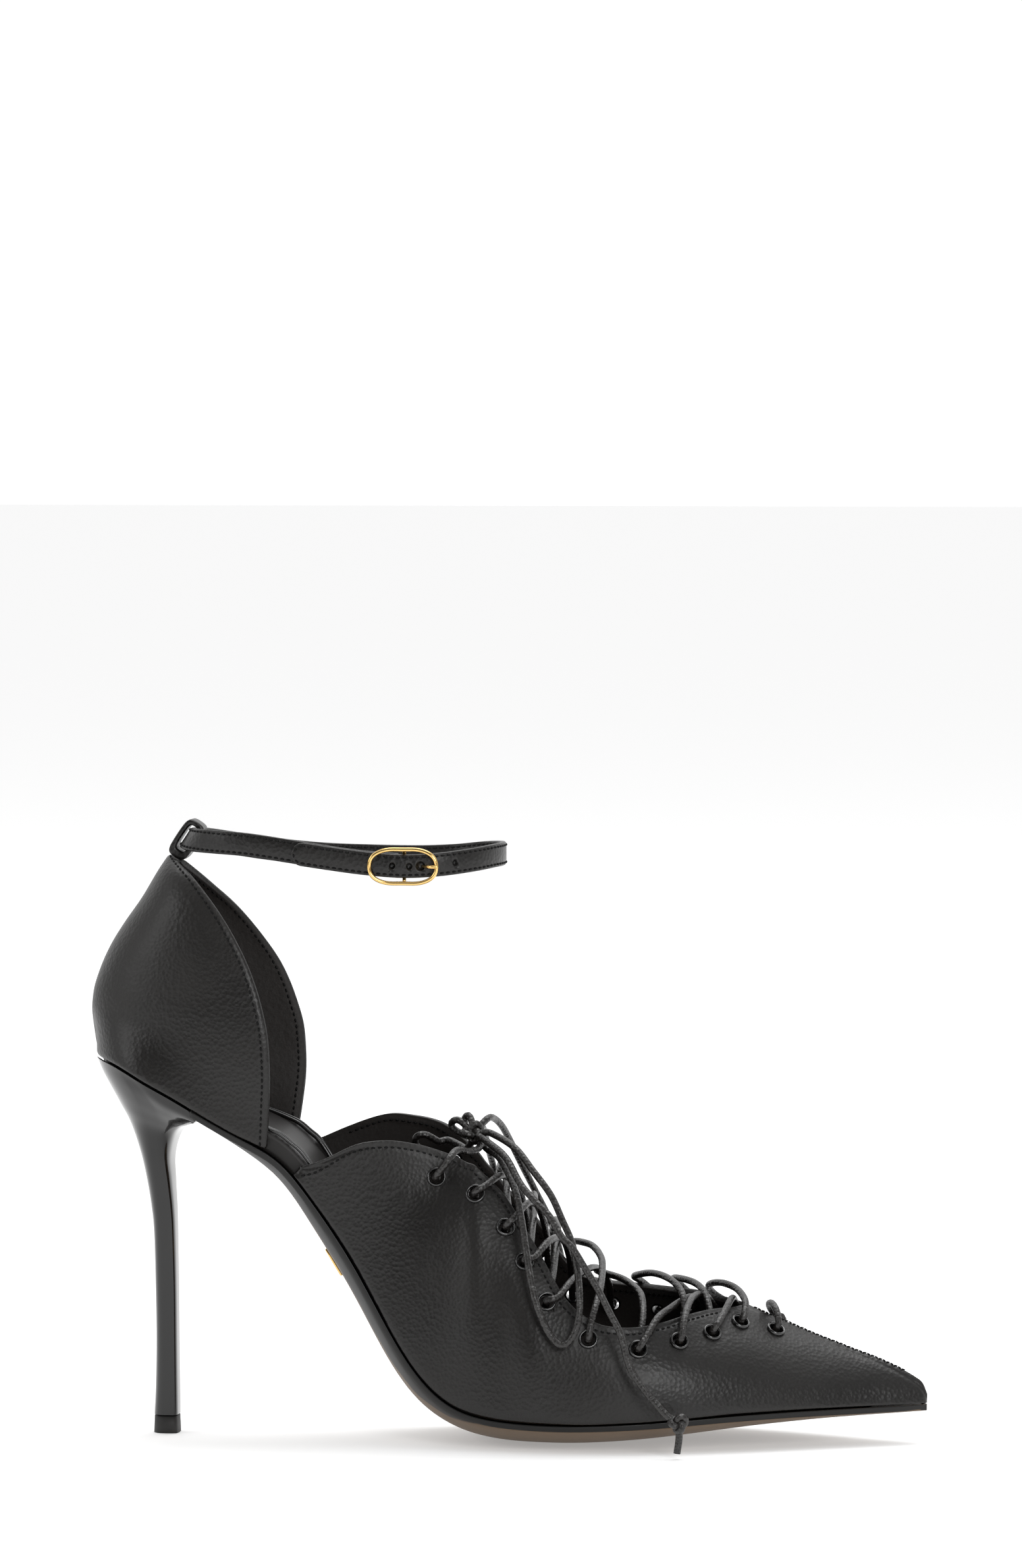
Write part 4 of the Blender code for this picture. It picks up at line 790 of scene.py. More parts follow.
sole_leather, sole_shader = new_look("oak bark tanned sole bend")
sole_place = add_node(sole_leather, "TexCoord", {})
sole_cloud = add_node(
    sole_leather, "TexNoise", {"Scale": 22.0, "Detail": 2.0}, {"Vector": (sole_place, "Object")},
)
sole_tone = add_node(sole_leather, "ValToRGB", {}, {"Fac": (sole_cloud, "Fac")})
sole_tone.color_ramp.elements[0].color = linear("55432f")
sole_tone.color_ramp.elements[1].color = linear("6b5843")
sole_fibre = add_relief(
    sole_leather, "TexNoise", {"Scale": 260.0, "Detail": 6.0, "Roughness": 0.65}, "Fac", 0.25, 0.0002,
)
sole_ink = add_node(sole_leather, "Attribute", {"attribute_name": "ink"})
sole_line = add_node(
    sole_leather, "MapRange", {"From Min": -0.012, "From Max": 0.012}, {"Value": (sole_ink, "Fac")},
)
sole_colour = add_node(
    sole_leather, "Mix", {"data_type": "RGBA", 7: linear("0b0a09")},
    {0: (sole_line, "Result"), 6: (sole_tone, "Color")},
)
set_shader(
    sole_leather, sole_shader,
    {"Roughness": 0.5, "Specular IOR Level": 0.35},
    {"Base Color": (sole_colour, 2), "Normal": (sole_fibre, "Normal")},
)
edge_ink, edge_shader = new_look("black edge ink, ironed")
set_shader(edge_ink, edge_shader, {
    "Base Color": linear("0b0a09"), "Roughness": 0.36, "Specular IOR Level": 0.35,
})

sole_piece = refine("sole_dressed", "outsole", (sole_leather, edge_ink), 2, 40.0)
INK_FROM = 0.98
INK_WAIST = 0.34
EDGE_STEEP = 0.62
inked = sole_piece.data.attributes.new("ink", "FLOAT", "POINT")
for vert in sole_piece.data.vertices:
    along = (vert.co.x + BACK_OVERHANG) / SHOE_LENGTH
    side = LATERAL if vert.co.y < 0.0 else MEDIAL
    across = abs(vert.co.y) / max(half_width(along, side), 0.001)
    waist = 1.0 - blend(0.32, 0.50, along)
    inked.data[vert.index].value = across - INK_FROM + INK_WAIST * waist
for polygon in sole_piece.data.polygons:
    if abs(polygon.normal.y) > EDGE_STEEP:
        polygon.material_index = 1
settle(sole_piece, "sole_leather", "outsole")

# The footbed: a lasting board covered with black satin-finished kid, wrapped over its
# edge at the open waist, with a glossy piped rim.
footbed, footbed_shader = new_look("black kid sock, satin")
footbed_grain = add_relief(
    footbed, "TexNoise", {"Scale": 600.0, "Detail": 3.0}, "Fac", 0.15, 0.0002,
)
set_shader(
    footbed, footbed_shader,
    {"Base Color": linear("1d1b1a"), "Roughness": 0.5, "Specular IOR Level": 0.35},
    {"Normal": (footbed_grain, "Normal")},
)
settle(refine("footbed_dressed", "insole", (footbed,), 2, 45.0), "footbed", "insole")

SOLE_DISH = 0.0036
INSOLE_THICKNESS = 0.0024
INSOLE_WAIST_EXTRA = 0.0030
INSOLE_INSET = UPPER_WALL + 3.0 * FIT_GAP


def seat_point(along, across, inset, lift):
    """A point over the sole's plan: across runs from -1, outer edge, to 1, inner."""
    side = LATERAL if across < 0.0 else MEDIAL
    y = across * (half_width(along, side) - inset)
    sag = last["dish"](along) * SOLE_DISH * (1.0 - across * across)
    return Vector((place(along), y, feather_height(along) - sag + lift * stretch(along)))


def footbed_top(along, across, lift):
    """A point over the footbed's upper face."""
    waist = blend(0.10, 0.22, along) * (1.0 - blend(0.27, 0.42, along))
    thick = INSOLE_THICKNESS + INSOLE_WAIST_EXTRA * waist
    return seat_point(along, across, INSOLE_INSET, FIT_GAP + thick - 0.0006 * across ** 8 + lift)


# The rim of the footbed: two glossy piped ridges of kid over a cord, with a row of
# small slots between them.
piping, piping_shader = new_look("glossy black kid piping")
set_shader(piping, piping_shader, {
    "Base Color": linear("0c0b0b"), "Roughness": 0.25, "Coat Weight": 0.4, "Coat Roughness": 0.15,
})
RIM_START = 0.150
RIM_END = 0.400
RIM_RADIUS = 0.00055
RIDGES = ((0.955, 0.0002), (0.825, 0.0001))
SLOT_ROW = 0.89
SLOT_LIFT = 0.0001
SLOT_PITCH = 0.0022
SLOT = Vector((0.0009, 0.00042, 0.00024))
rims = []
slots = bmesh.new()
for side in (LATERAL, MEDIAL):
    stations = [RIM_START + (RIM_END - RIM_START) * i / 60.0 for i in range(61)]
    for ridge, lift in RIDGES:
        rims.append([footbed_top(along, side * ridge, lift) for along in stations])
    row = [footbed_top(along, side * SLOT_ROW, SLOT_LIFT) for along in stations]
    groove = smooth_route(row, SLOT_PITCH)
    for i, (a, b) in enumerate(zip(groove, groove[1:])):
        forward = (b - a).normalized()
        across = Vector((0.0, 1.0, 0.0))
        slant = (across + forward * (0.5 if i % 2 else -0.5)).normalized()
        over = forward.cross(across).normalized()
        add_bead(slots, a, slant, over, SLOT)
settle(tube_curve("footbed_rim", rims, RIM_RADIUS, piping), "footbed")
settle(finish_mesh("footbed_slots", slots, (thread,)), "footbed")

# The heel: a tall covered heel, sprayed and polished with black lacquer, on a moulded
# top piece.
lacquer, lacquer_shader = new_look("black heel lacquer, polished")
set_shader(lacquer, lacquer_shader, {
    "Base Color": linear("0a0909"), "Roughness": 0.12, "Coat Weight": 0.1, "Coat Roughness": 0.04,
})
STEM_LENGTH = 0.0071
STEM_WIDTH = 0.0092
STEM_BACK = 0.0045
TOP_PIECE_HEIGHT = 0.0050
BREAST_ALONG = 0.131
# Rings of the heel from the seat down, each as height at the back and where it stands,
# the same at the front, half width and squareness. Heights are shares of the heel's.
HEEL = (
    (0.962, 0.0140, 0.838, 0.138, 2.60, 0.30),
    (0.925, 0.0230, 0.826, 0.127, 2.26, 0.34),
    (0.877, 0.0345, 0.813, 0.113, 1.78, 0.40),
    (0.823, 0.0467, 0.786, 0.1025, 1.32, 0.44),
    (0.746, 0.0581, 0.730, 0.0965, 0.97, 0.44),
    (0.670, 0.0656, 0.664, 0.098, 0.75, 0.44),
    (0.598, 0.0707, 0.596, 0.100, 0.61, 0.42),
    (0.529, 0.0736, 0.529, 0.101, 0.53, 0.42),
    (0.390, 0.0753, 0.390, 0.102, 0.48, 0.40),
    (0.251, 0.0761, 0.251, 0.1025, 0.47, 0.40),
    (0.127, 0.0753, 0.127, 0.103, 0.48, 0.40),
)
SEAT_HALF = 0.0245
SEAT_CORNER = 0.82
# How far the uppermost rings keep the seat's own outline.
HEEL_KEEP = {HEEL[0]: 0.75, HEEL[1]: 0.4, HEEL[2]: 0.12}


def heel_seat(side, around):
    """A point of the heel's upper outline: the seat's edge, then across the breast."""
    start = LAST[0][0] + 0.0015
    swing = min(around / SEAT_CORNER, 1.0)
    along = start + (BREAST_ALONG - start) * (1.0 - math.cos(swing * math.pi / 2.0)) ** 1.3
    wide = (half_width(along, side) - 2.0 * FIT_GAP) * min((1.0 - around) / (1.0 - SEAT_CORNER), 1.0)
    return seat_point(along, side * wide / half_width(along, side), 0.0, -FIT_GAP)


def heel_ring(row, side, around):
    """A point of one D-shaped ring of the heel, from back to front."""
    back_height, back, front_height, front, width, corner = row
    turn = math.pi * around
    swing = math.cos(turn)
    power = 1.0 if swing > 0.0 else corner
    share = 0.5 - 0.5 * math.copysign(abs(swing) ** power, swing)
    x = place(back) + (place(front) - place(back)) * share
    y = side * width * STEM_WIDTH * max(math.sin(turn), 0.0) ** (0.9 if swing > 0.0 else corner)
    ring = Vector((x, y, (back_height + (front_height - back_height) * share) * HEEL_HEIGHT))
    keep = HEEL_KEEP.get(row, 0.0)
    if keep:
        outline = heel_seat(side, around)
        rear, fore = heel_seat(side, 0.0), heel_seat(side, 1.0)
        share = (outline.x - rear.x) / (fore.x - rear.x)
        x = place(back) + (place(front) - place(back)) * share
        y = outline.y * width * STEM_WIDTH / SEAT_HALF
        drop_back = rear.z - back_height * HEEL_HEIGHT
        drop_front = fore.z - front_height * HEEL_HEIGHT
        z = outline.z - drop_back - (drop_front - drop_back) * share
        ring = ring.lerp(Vector((x, y, z)), keep)
    return ring


tip_height = (TOP_PIECE_HEIGHT + FIT_GAP) / HEEL_HEIGHT
tip_back = (BACK_OVERHANG - STEM_BACK) / SHOE_LENGTH
tip_row = (tip_height, tip_back, tip_height, tip_back + STEM_LENGTH / SHOE_LENGTH, 0.5, 0.4)
heel_work = bmesh.new()
for side in (LATERAL, MEDIAL):

    def heel_skin(down, around, side=side):
        """A point of the heel from its shares down and round one side."""
        rings = [heel_seat(side, around)]
        rings += [heel_ring(row, side, around) for row in (*HEEL, tip_row)]
        where = down * (len(rings) - 1)
        i = min(int(where), len(rings) - 2)
        b, c = rings[i], rings[i + 1]
        a = rings[i - 1] if i else b * 2.0 - c
        d = rings[i + 2] if i + 2 < len(rings) else c * 2.0 - b
        return between(a, b, c, d, where - i)

    sheet(heel_work, 60, 28, heel_skin)
close_up(heel_work)
heel_piece = finish_mesh("heel_lacquered", heel_work, (lacquer,), 45.0)
settle(heel_piece, "heel_lacquer", "heel")

polyurethane, polyurethane_shader = new_look("black cast polyurethane")
set_shader(polyurethane, polyurethane_shader, {"Base Color": linear("1a1918"), "Roughness": 0.6})
settle(refine("heel_tip_cast", "top_piece", (polyurethane,), 1, 40.0), "heel_tip", "top_piece")

# The ankle strap: two layers of calf folded and stitched along both edges, holed for
# the prong, lapped over itself through the buckle and held by the back loop.
STRAP_WIDTH = 0.0066
STRAP_THICKNESS = 0.0018
STRAP_AHEAD = 0.0055
STRAP_RISE = 0.0048
STRAP_BACK = place(QUARTER[-1][2]) + STRAP_AHEAD
STRAP_HEIGHT = HEEL_HEIGHT + COUNTER_HEIGHT + STRAP_RISE
STRAP_REACH = 0.0896
STRAP_SPREAD = 0.0225
STRAP_SAG = 0.0062
STRAP_LEAN = 34.0
STRAP_SEAM = 0.74
STRAP_GROOVE = 0.00012
# The strap's way from the hidden end under the buckle, round the ankle and over itself,
# each row as how far ahead, across and down of its reach, spread and sag, and how far
# it has risen to the outer lap.
STRAP = (
    (0.698, -0.99, 0.96, 0.0),
    (0.560, -0.99, 0.80, 0.0),
    (0.390, -0.98, 0.45, 0.0),
    (0.225, -0.91, 0.12, 0.0),
    (0.098, -0.72, 0.02, 0.0),
    (0.022, -0.40, 0.00, 0.0),
    (0.000, 0.00, 0.00, 0.0),
    (0.022, 0.40, 0.10, 0.0),
    (0.098, 0.72, 0.34, 0.0),
    (0.225, 0.92, 0.66, 0.0),
    (0.390, 0.99, 0.90, 0.0),
    (0.550, 1.00, 0.98, 0.0),
    (0.700, 0.99, 1.00, 0.0),
    (0.820, 0.92, 0.92, 0.0),
    (0.920, 0.70, 0.74, 0.0),
    (0.982, 0.36, 0.64, 0.0),
    (1.000, 0.00, 0.62, 0.2),
    (0.982, -0.36, 0.64, 0.5),
    (0.925, -0.70, 0.76, 0.8),
    (0.830, -0.93, 0.92, 1.0),
    (0.720, -0.98, 1.00, 1.0),
    (0.600, -0.99, 0.88, 1.0),
    (0.480, -0.99, 0.66, 1.0),
    (0.365, -0.98, 0.42, 1.0),
)
strap_middle = []
for forward, across, drop, over in STRAP:
    lap = over * (STRAP_THICKNESS + FIT_GAP) * (1.0 if across < 0.1 else 0.0)
    strap_middle.append((
        STRAP_BACK + forward * STRAP_REACH, across * STRAP_SPREAD - lap,
        STRAP_HEIGHT - drop * STRAP_SAG,
    ))
strap_points = smooth_route(strap_middle, 0.0016)
strap_frames = []
for i, point in enumerate(strap_points):
    tangent = strap_points[min(i + 1, len(strap_points) - 1)] - strap_points[max(i - 1, 0)]
    tangent.normalize()
    behind = min(max(STRAP_BACK + 0.012 - point.x, 0.0) / 0.012, 1.0)
    lean = math.radians(STRAP_LEAN) * behind ** 1.2
    upward = Vector((math.sin(lean), 0.0, math.cos(lean)))
    upward = (upward - tangent * upward.dot(tangent)).normalized()
    strap_frames.append((point, upward.cross(tangent).normalized(), upward))
strap_length = sum((b - a).length for a, b in zip(strap_points, strap_points[1:]))


def strap_skin(run, around):
    """A point of the strap's rounded band from its shares along and round it."""
    where = run * (len(strap_frames) - 1)
    i = min(int(where), len(strap_frames) - 2)
    point, out, upward = (strap_frames[i][k].lerp(strap_frames[i + 1][k], where - i) for k in range(3))
    from_tip = (1.0 - run) * strap_length
    half = 0.5 * STRAP_WIDTH
    if from_tip < half:
        half *= math.sqrt(max(1.0 - (1.0 - from_tip / half) ** 2, 0.0))
    turn = 2.0 * math.pi * around
    up = math.copysign(abs(math.sin(turn)) ** 0.35, math.sin(turn))
    thick = math.copysign(abs(math.cos(turn)) ** 0.5, math.cos(turn))
    groove = STRAP_GROOVE * math.exp(-(((abs(up) - STRAP_SEAM) / 0.08) ** 2))
    depth = 0.5 * STRAP_THICKNESS * thick - math.copysign(groove, thick)
    return point + out * depth + upward * (up * half)


strap_work = bmesh.new()
sheet(strap_work, len(strap_frames) * 2, 32, strap_skin)
close_up(strap_work)
strap_piece = finish_mesh("ankle_strap_leather", strap_work, (calf,), 60.0)

BUCKLE_AHEAD = 0.72 * STRAP_REACH
PRONG_HOLE = 0.0026
PRONG_AHEAD = 0.0056
SMALL_HOLE = 0.0009
STRAP_HOLES = (
    (-0.0034, SMALL_HOLE), (0.0021, SMALL_HOLE), (PRONG_AHEAD, PRONG_HOLE / 2.0), (0.0132, SMALL_HOLE),
)
STRAP_HOLE_DEPTH = 0.0032
STRAP_HOLE_LIFT = 0.0013
outer_lap = [lap for lap in strap_frames[len(strap_frames) // 2:] if lap[0].y < 0.0]
strap_holes = bmesh.new()
for ahead, wide in STRAP_HOLES:
    x = STRAP_BACK + BUCKLE_AHEAD + ahead
    spot, out, _ = min(outer_lap, key=lambda lap: abs(lap[0].x - x))
    add_punch(strap_holes, spot + out * STRAP_HOLE_LIFT, out, wide, STRAP_HOLE_DEPTH)
punch_holes(strap_piece, "strap_punch", strap_holes)
settle(strap_piece, "calf", "ankle_strap")

strap_thread = bmesh.new()
strap_half = 0.5 * STRAP_WIDTH
strap_face = 0.5 * STRAP_THICKNESS - 0.00008
for level in (-STRAP_SEAM, STRAP_SEAM):
    for turn in (1.0, -1.0):
        seam = []
        for point, out, upward in strap_frames[3:-2]:
            face = out * turn
            seam.append((point + face * strap_face + upward * (level * strap_half), face))
        add_stitches(strap_thread, seam)
tip_point, tip_out, tip_up = strap_frames[-2]
tip_ahead = (strap_frames[-1][0] - tip_point).normalized()
tip_centre = strap_frames[-1][0] - tip_ahead * strap_half + tip_out * strap_face
tip_seam = []
for i in range(17):
    turn = math.radians(-80.0 + 10.0 * i)
    reach = tip_ahead * math.cos(turn) + tip_up * math.sin(turn)
    tip_seam.append((tip_centre + reach * (STRAP_SEAM * strap_half), tip_out))
add_stitches(strap_thread, tip_seam)
settle(finish_mesh("strap_stitches", strap_thread, (thread,)), "calf")

settle(refine("back_loop_leather", "back_loop", (calf,), 2, 50.0), "calf", "back_loop")

# The buckle: an oval wire frame and its prong, cast, polished and plated in pale gold.
gold, gold_shader = new_look("polished pale gold plate")
gold_place = add_node(gold, "TexCoord", {})
gold_wear = add_node(gold, "TexNoise", {"Scale": 300.0}, {"Vector": (gold_place, "Object")})
gold_gloss = add_node(
    gold, "MapRange", {"To Min": 0.1, "To Max": 0.22}, {"Value": (gold_wear, "Fac")},
)
set_shader(
    gold, gold_shader, {"Base Color": linear("e8c27c"), "Metallic": 1.0},
    {"Roughness": (gold_gloss, "Result")},
)
for node in ("buckle_frame", "buckle_prong"):
    settle(refine(node + "_gold", node, (gold,), 1, 70.0), "gold_metal", node)
PLATE_EDGE = 0.0002
plate_piece = refine("sole_plate_gold", "sole_plate", (gold,), 2, 70.0)
plate_bevel = plate_piece.modifiers.new("edges", "BEVEL")
plate_bevel.width = PLATE_EDGE
plate_bevel.segments = 3
settle(plate_piece, "gold_metal", "sole_plate")

# The eyelets: brass rings rolled over the edge of each hole and enamelled black.
EYELET_BORE = 0.0038
EYELET_RIM = 0.0055
EYELET_PROUD = 0.0010
enamel, enamel_shader = new_look("black enamelled brass")
set_shader(enamel, enamel_shader, {
    "Base Color": linear("0c0b0b"), "Roughness": 0.16, "Coat Weight": 1.0, "Coat Roughness": 0.06,
})
bore = EYELET_BORE / 2.0
rim = EYELET_RIM / 2.0
roll = 0.5 * (rim - bore)
for side, label in ((LATERAL, "outer"), (MEDIAL, "inner")):
    for number in range(1, len(EYELETS) + 1):
        centre, out = eyelet_at(side, number)
        eyelet_work = bmesh.new()
        profile = [(bore, -UPPER_WALL - 0.0004)]
        for i in range(9):
            turn = math.pi * i / 8.0
            height = (0.15 + 0.8 * math.sin(turn)) * EYELET_PROUD
            profile.append((bore + roll * (1.0 - math.cos(turn)), height))
        profile += [(rim, -0.0003), (bore + 0.0002, -0.0003), (bore + 0.0002, -UPPER_WALL - 0.0004)]
        verts = [eyelet_work.verts.new((radius, 0.0, height)) for radius, height in profile]
        edges = [eyelet_work.edges.new((a, b)) for a, b in zip(verts, verts[1:] + verts[:1])]
        bmesh.ops.spin(
            eyelet_work, geom=verts + edges, cent=(0.0, 0.0, 0.0), axis=(0.0, 0.0, 1.0),
            angle=2.0 * math.pi, steps=32, use_merge=True,
        )
        bmesh.ops.remove_doubles(eyelet_work, verts=eyelet_work.verts, dist=0.000005)
        bmesh.ops.recalc_face_normals(eyelet_work, faces=eyelet_work.faces)
        sunk = seated(centre - out * EYELET_PUCKER, out)
        bmesh.ops.transform(eyelet_work, matrix=sunk, verts=eyelet_work.verts)
        ring = finish_mesh(f"eyelet_ring_{label}_{number:02d}", eyelet_work, (enamel,), 50.0)
        settle(ring, "eyelet_enamel", f"eyelet_{label}_{number:02d}")

# The lace: one round braided cotton cord, waxed, threaded through every eyelet.
LACE_WIDTH = 0.0020
LACE_STEP = 0.0009
KNOT_STEP = 0.0008
INSIDE = "inside"
OUTSIDE = "outside"
BRAID = 0.0009
lace_wax, lace_shader = new_look("black waxed braided cotton")
lace_braid = add_relief(
    lace_wax, "TexVoronoi", {"Scale": 1.0 / BRAID, "Randomness": 0.5}, "Distance", 0.9, 0.0003,
)
set_shader(
    lace_wax, lace_shader,
    {"Base Color": linear("151210"), "Roughness": 0.36, "Coat Weight": 0.25, "Coat Roughness": 0.3},
    {"Normal": (lace_braid, "Normal")},
)


def mm(*points):
    """Route points from millimetres to metres."""
    return [Vector(p) * 0.001 for p in points]


def leave(side, number):
    """The lace coming out of an eyelet, from its bore to just outside."""
    centre, out = eyelet_at(side, number)
    return [centre - out * 0.0022, centre + out * 0.0016]


def enter(side, number):
    """The lace going into an eyelet from inside the shoe."""
    centre, out = eyelet_at(side, number)
    return [centre - out * 0.0042, centre - out * 0.0004]


# Each run of lace between two eyelets: its crossing, where it comes out of, where it
# goes, whether it goes in from inside or outside, and its points in millimetres.
LACE_RUNS = (
    ("lace_cross_1", (LATERAL, 2), (MEDIAL, 3), INSIDE, (
        (93.2, -25.2, 73.6), (96.5, -18.5, 75.8), (98.3, -8.0, 74.0), (99.4, 4.0, 69.5),
        (99.6, 14.0, 64.0), (99.5, 20.5, 59.5),
    )),
    ("lace_cross_1", (MEDIAL, 2), (LATERAL, 3), INSIDE, (
        (90.8, 25.8, 71.5), (92.2, 21.5, 76.0), (94.0, 12.5, 75.6), (95.8, 2.5, 73.0),
        (97.3, -8.0, 69.4), (98.6, -16.0, 65.0),
    )),
    ("lace_cross_2", (LATERAL, 3), (MEDIAL, 4), INSIDE, (
        (102.2, -26.8, 65.5), (104.6, -21.0, 68.4), (106.0, -11.0, 67.2), (106.4, 0.0, 62.6),
        (106.1, 12.0, 57.0), (105.5, 20.5, 52.0),
    )),
    ("lace_cross_2", (MEDIAL, 3), (LATERAL, 4), INSIDE, (
        (99.6, 29.2, 61.2), (100.8, 25.0, 66.2), (102.3, 16.0, 66.8), (103.6, 5.0, 64.6),
        (104.5, -8.0, 60.4), (105.0, -18.0, 56.0),
    )),
    ("lace_cross_3", (LATERAL, 4), (MEDIAL, 5), INSIDE, (
        (107.6, -30.0, 54.2), (110.6, -23.0, 57.8), (112.2, -12.0, 58.0), (112.7, 0.0, 55.6),
        (112.6, 14.0, 49.6), (112.1, 24.0, 43.0),
    )),
    ("lace_cross_3", (MEDIAL, 4), (LATERAL, 5), INSIDE, (
        (105.3, 32.2, 53.4), (106.8, 27.0, 58.8), (108.8, 17.0, 59.4), (110.2, 5.0, 57.6),
        (111.0, -8.0, 53.0), (111.5, -20.0, 47.0),
    )),
    ("lace_cross_4", (LATERAL, 5), (MEDIAL, 6), INSIDE, (
        (114.7, -34.5, 43.6), (117.4, -28.0, 47.0), (118.8, -20.0, 48.2), (119.8, -12.0, 48.6),
        (121.0, -2.0, 48.6), (122.2, 10.0, 46.4), (123.2, 21.0, 41.0),
    )),
    ("lace_cross_4", (LATERAL, 6), (MEDIAL, 5), OUTSIDE, (
        (124.3, -36.0, 37.0), (125.2, -31.5, 41.8), (125.6, -24.0, 45.4), (124.6, -10.0, 50.4),
        (122.8, -2.0, 52.6), (119.9, 6.0, 54.0), (116.4, 13.0, 54.2), (113.2, 21.0, 53.6),
        (111.6, 29.0, 51.4), (111.2, 35.6, 45.0),
    )),
    ("lace_cross_5", (MEDIAL, 6), (LATERAL, 7), INSIDE, (
        (122.0, 35.4, 40.0), (119.8, 30.5, 43.6), (119.4, 23.0, 45.2), (122.4, 14.5, 45.4),
        (129.3, 3.5, 44.7), (134.9, -9.0, 42.6), (136.9, -18.0, 39.4), (137.3, -25.0, 34.6),
    )),
    ("lace_cross_6", (LATERAL, 7), (MEDIAL, 8), INSIDE, (
        (139.5, -33.2, 32.8), (142.1, -27.0, 37.4), (145.3, -18.5, 39.6), (147.4, -9.5, 40.6),
        (148.6, 0.0, 40.4), (149.0, 8.0, 39.0), (148.8, 14.5, 36.2),
    )),
    ("lace_cross_6", (MEDIAL, 7), (LATERAL, 8), INSIDE, (
        (135.4, 31.6, 38.0), (131.8, 28.2, 41.6), (130.2, 22.5, 43.6), (132.5, 15.5, 45.0),
        (136.6, 8.0, 46.2), (141.0, 0.0, 46.2), (145.0, -8.0, 45.0), (147.7, -14.0, 42.2),
        (148.4, -18.0, 37.2),
    )),
    ("lace_cross_7", (LATERAL, 8), (MEDIAL, 9), INSIDE, (
        (149.2, -27.2, 35.6), (149.6, -21.8, 39.2), (150.1, -14.0, 41.2), (151.2, -6.0, 41.8),
        (152.8, 1.0, 40.6), (154.8, 6.0, 37.0), (155.8, 11.0, 35.0),
    )),
    ("lace_cross_7", (MEDIAL, 8), (LATERAL, 9), INSIDE, (
        (146.2, 26.0, 38.2), (142.8, 22.4, 42.0), (141.9, 17.4, 43.8), (144.9, 11.0, 44.4),
        (149.4, 3.5, 44.0), (152.6, -3.5, 42.4), (154.5, -8.5, 38.8), (155.6, -12.6, 34.6),
    )),
    ("lace_cross_8", (LATERAL, 9), (MEDIAL, 10), INSIDE, (
        (158.7, -19.8, 36.0), (160.0, -12.8, 39.0), (160.8, -6.0, 40.8), (161.2, -0.8, 39.4),
        (161.7, 2.4, 36.4), (162.4, 6.0, 34.6),
    )),
    ("lace_cross_8", (LATERAL, 10), (MEDIAL, 9), OUTSIDE, (
        (165.0, -12.2, 37.4), (164.7, -7.8, 40.4), (161.8, -0.6, 42.8), (157.7, 5.2, 43.8),
        (154.2, 10.2, 43.4), (152.2, 14.8, 42.0), (153.4, 18.8, 39.4),
    )),
    ("lace_bar_front", (LATERAL, 11), (MEDIAL, 11), OUTSIDE, (
        (174.1, -7.4, 35.0), (173.2, -5.0, 37.6), (171.8, -1.6, 39.0), (170.6, 2.0, 38.6),
        (170.6, 6.0, 36.8), (171.9, 7.9, 34.9),
    )),
)
crossings = {}
for name, start, end, way, points in LACE_RUNS:
    entry = enter(*end) if way == INSIDE else leave(*end)[::-1]
    crossings.setdefault(name, []).append(leave(*start) + mm(*points) + entry)
for name, routes in crossings.items():
    laces = [smooth_route(route, LACE_STEP) for route in routes]
    crossing = tube_curve(name.replace("lace_", "laced_"), laces, 0.5 * LACE_WIDTH, lace_wax)
    settle(crossing, "lace_cord", name)

# The bow: two loops and one long end, drawn up in a small hard knot over the tongue
# gap. The long end falls forward over the outer side to a knot that stops it fraying.
KNOT_AT = Vector((0.0875, -0.0060, 0.0868))
KNOT_HALF = (0.0036, 0.0034, 0.0040)
KNOT_SIZE = 0.00090
KNOT_DEPTH = 0.0011
KNOT_BITE = 0.0008
END_KNOT_AT = Vector((0.1496, -0.0450, 0.0100))
END_KNOT_HALF = (0.0032, 0.0030, 0.0032)
END_KNOT_SIZE = 0.00074
END_KNOT_DEPTH = 0.0009
BOW_OUTER = mm(
    (93.0, -8.5, 86.8), (100.8, -18.0, 83.6), (106.5, -24.0, 77.9), (112.0, -28.0, 71.5),
    (115.6, -31.0, 64.8), (118.6, -34.0, 58.9), (120.3, -36.0, 52.1), (121.2, -38.5, 45.5),
    (121.3, -40.0, 39.3), (119.8, -40.5, 33.7), (116.7, -40.5, 30.8), (113.2, -39.5, 33.5),
    (110.0, -39.5, 40.3), (107.8, -38.0, 47.4), (105.9, -35.2, 56.5), (104.0, -30.2, 64.8),
    (102.0, -25.6, 71.4), (98.8, -18.6, 76.8), (95.0, -10.5, 80.6), (91.5, -6.5, 82.2),
)
BOW_INNER = mm(
    (91.2, -1.0, 90.5), (92.2, 5.0, 89.8), (93.6, 11.0, 87.2), (95.0, 18.0, 82.6),
    (97.5, 24.5, 75.4), (101.0, 30.0, 66.8), (105.0, 35.0, 57.0), (107.5, 39.0, 46.0),
    (107.0, 41.0, 37.0), (103.5, 41.0, 32.0), (99.5, 40.0, 36.0), (96.5, 37.5, 45.0),
    (93.5, 36.5, 56.0), (90.5, 32.5, 67.0), (88.5, 26.5, 77.0), (88.0, 16.5, 84.5),
    (88.5, 6.0, 87.2),
)
LACE_END = mm(
    (92.8, -13.0, 84.5), (98.6, -21.5, 81.2), (103.5, -28.0, 74.5), (107.9, -32.0, 70.3),
    (112.3, -34.8, 66.4), (116.1, -38.0, 61.0), (119.4, -39.5, 57.9), (122.9, -40.5, 52.6),
    (126.6, -41.5, 46.9), (130.2, -42.0, 40.0), (133.2, -42.4, 34.2), (135.7, -42.8, 25.5),
    (139.3, -43.4, 19.8), (142.9, -44.2, 15.8), (146.2, -45.0, 12.4),
)


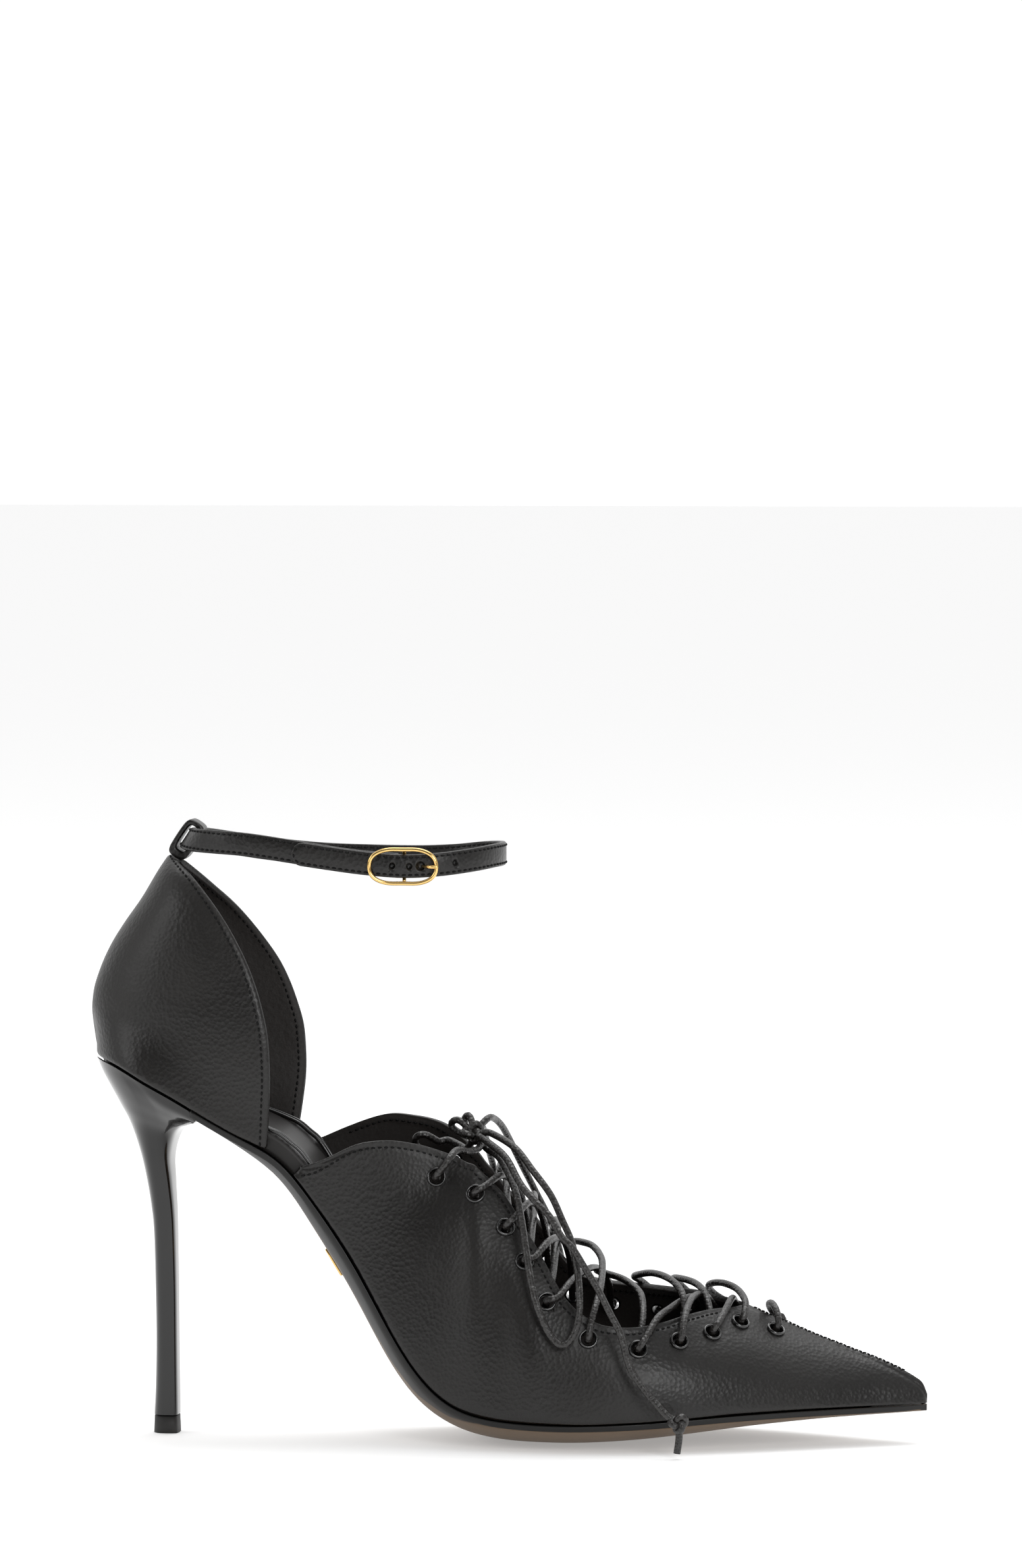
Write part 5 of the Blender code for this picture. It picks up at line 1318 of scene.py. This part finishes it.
def knot_seat(centre, halves, toward):
    """Where a lace coming from a point outside a knot meets its face."""
    away = (Vector(toward) - centre).normalized()
    reach = 1.0 / math.sqrt(sum((a / h) ** 2 for a, h in zip(away, halves)))
    return centre + away * (reach - KNOT_BITE)


def lace_cord(name, route, node):
    """A free stretch of the lace."""
    points = smooth_route(route, LACE_STEP)
    piece = tube_curve(name, [points], 0.5 * LACE_WIDTH, lace_wax)
    settle(piece, "lace_cord", node)
    return piece


def tied(centre, size, depth, turned):
    """One overhand knot drawn up tight, as the closed curve that its lace takes."""
    route = []
    for i in range(49):
        t = 2.0 * math.pi * i / 48.0 + 0.3
        local = Vector((
            size * (math.sin(t) + 2.0 * math.sin(2.0 * t)),
            size * (math.cos(t) - 2.0 * math.cos(2.0 * t)), -depth * math.sin(3.0 * t),
        ))
        route.append(centre + turned @ local)
    return route


KNOT_TURN = Matrix.Rotation(math.radians(62.0), 3, "X") @ Matrix.Rotation(math.radians(25.0), 3, "Z")
knot_wraps = [
    tied(KNOT_AT, KNOT_SIZE, KNOT_DEPTH, KNOT_TURN),
    mm((87.4, -6.2, 88.0), (86.8, -4.6, 90.2), (85.7, -3.2, 91.4), (84.6, -2.2, 90.4),
       (84.9, -2.8, 88.2), (86.4, -4.8, 86.6)),
    mm((86.6, -5.8, 86.8), (84.8, -3.8, 88.8), (82.6, -2.4, 90.0), (80.8, -1.0, 89.2),
       (81.0, -0.6, 87.6), (83.6, -2.6, 86.2), (86.0, -5.0, 85.6)),
    leave(LATERAL, 1) + mm(
        (82.6, -25.2, 80.2), (84.6, -20.6, 83.0), (87.4, -14.6, 82.2), (89.4, -9.6, 82.6),
        (89.6, -7.0, 84.2), (88.4, -6.0, 86.2),
    ),
    enter(MEDIAL, 1)[::-1] + mm(
        (75.0, 9.0, 79.0), (70.8, 3.0, 81.6), (70.2, 0.0, 84.0), (71.4, -0.8, 85.4),
        (73.4, -0.6, 85.5), (75.3, 0.4, 84.4), (76.8, 2.0, 83.4), (79.3, 2.4, 83.8),
        (82.5, 0.0, 82.8), (84.9, -3.0, 82.0), (86.6, -5.0, 83.4), (87.4, -6.0, 85.4),
    ),
]
knot_piece = tube_curve(
    "lace_knot_tied", [smooth_route(route, KNOT_STEP) for route in knot_wraps],
    0.5 * LACE_WIDTH, lace_wax,
)
settle(knot_piece, "lace_cord", "lace_knot", "lace_leg_outer", "lace_leg_inner")

END_TURN = Matrix.Rotation(math.radians(75.0), 3, "X") @ Matrix.Rotation(math.radians(10.0), 3, "Z")
end_wraps = [tied(END_KNOT_AT, END_KNOT_SIZE, END_KNOT_DEPTH, END_TURN)]
end_knot_piece = tube_curve("lace_end_knot_tied", end_wraps, 0.5 * LACE_WIDTH, lace_wax)
settle(end_knot_piece, "lace_cord", "lace_end_knot")
tail_piece = tube_curve(
    "lace_end_tail_cut",
    [smooth_route([END_KNOT_AT, END_KNOT_AT + Vector((0.0002, 0.0, -0.0040)),
                   Vector((END_KNOT_AT.x - 0.0004, END_KNOT_AT.y, 0.0016))], KNOT_STEP)],
    0.5 * LACE_WIDTH, lace_wax,
)
settle(tail_piece, "lace_cord", "lace_end_tail")

for name, loop in (("lace_bow_outer", BOW_OUTER), ("lace_bow_inner", BOW_INNER)):
    seats = [knot_seat(KNOT_AT, KNOT_HALF, loop[i]) for i in (0, -1)]
    lace_cord(name + "_tied", [seats[0], *loop, seats[1]], name)
end_seats = [
    knot_seat(KNOT_AT, KNOT_HALF, LACE_END[0]), knot_seat(END_KNOT_AT, END_KNOT_HALF, LACE_END[-1]),
]
lace_cord(
    "lace_end_long", [end_seats[0], *LACE_END, end_seats[1]], "lace_end",
)
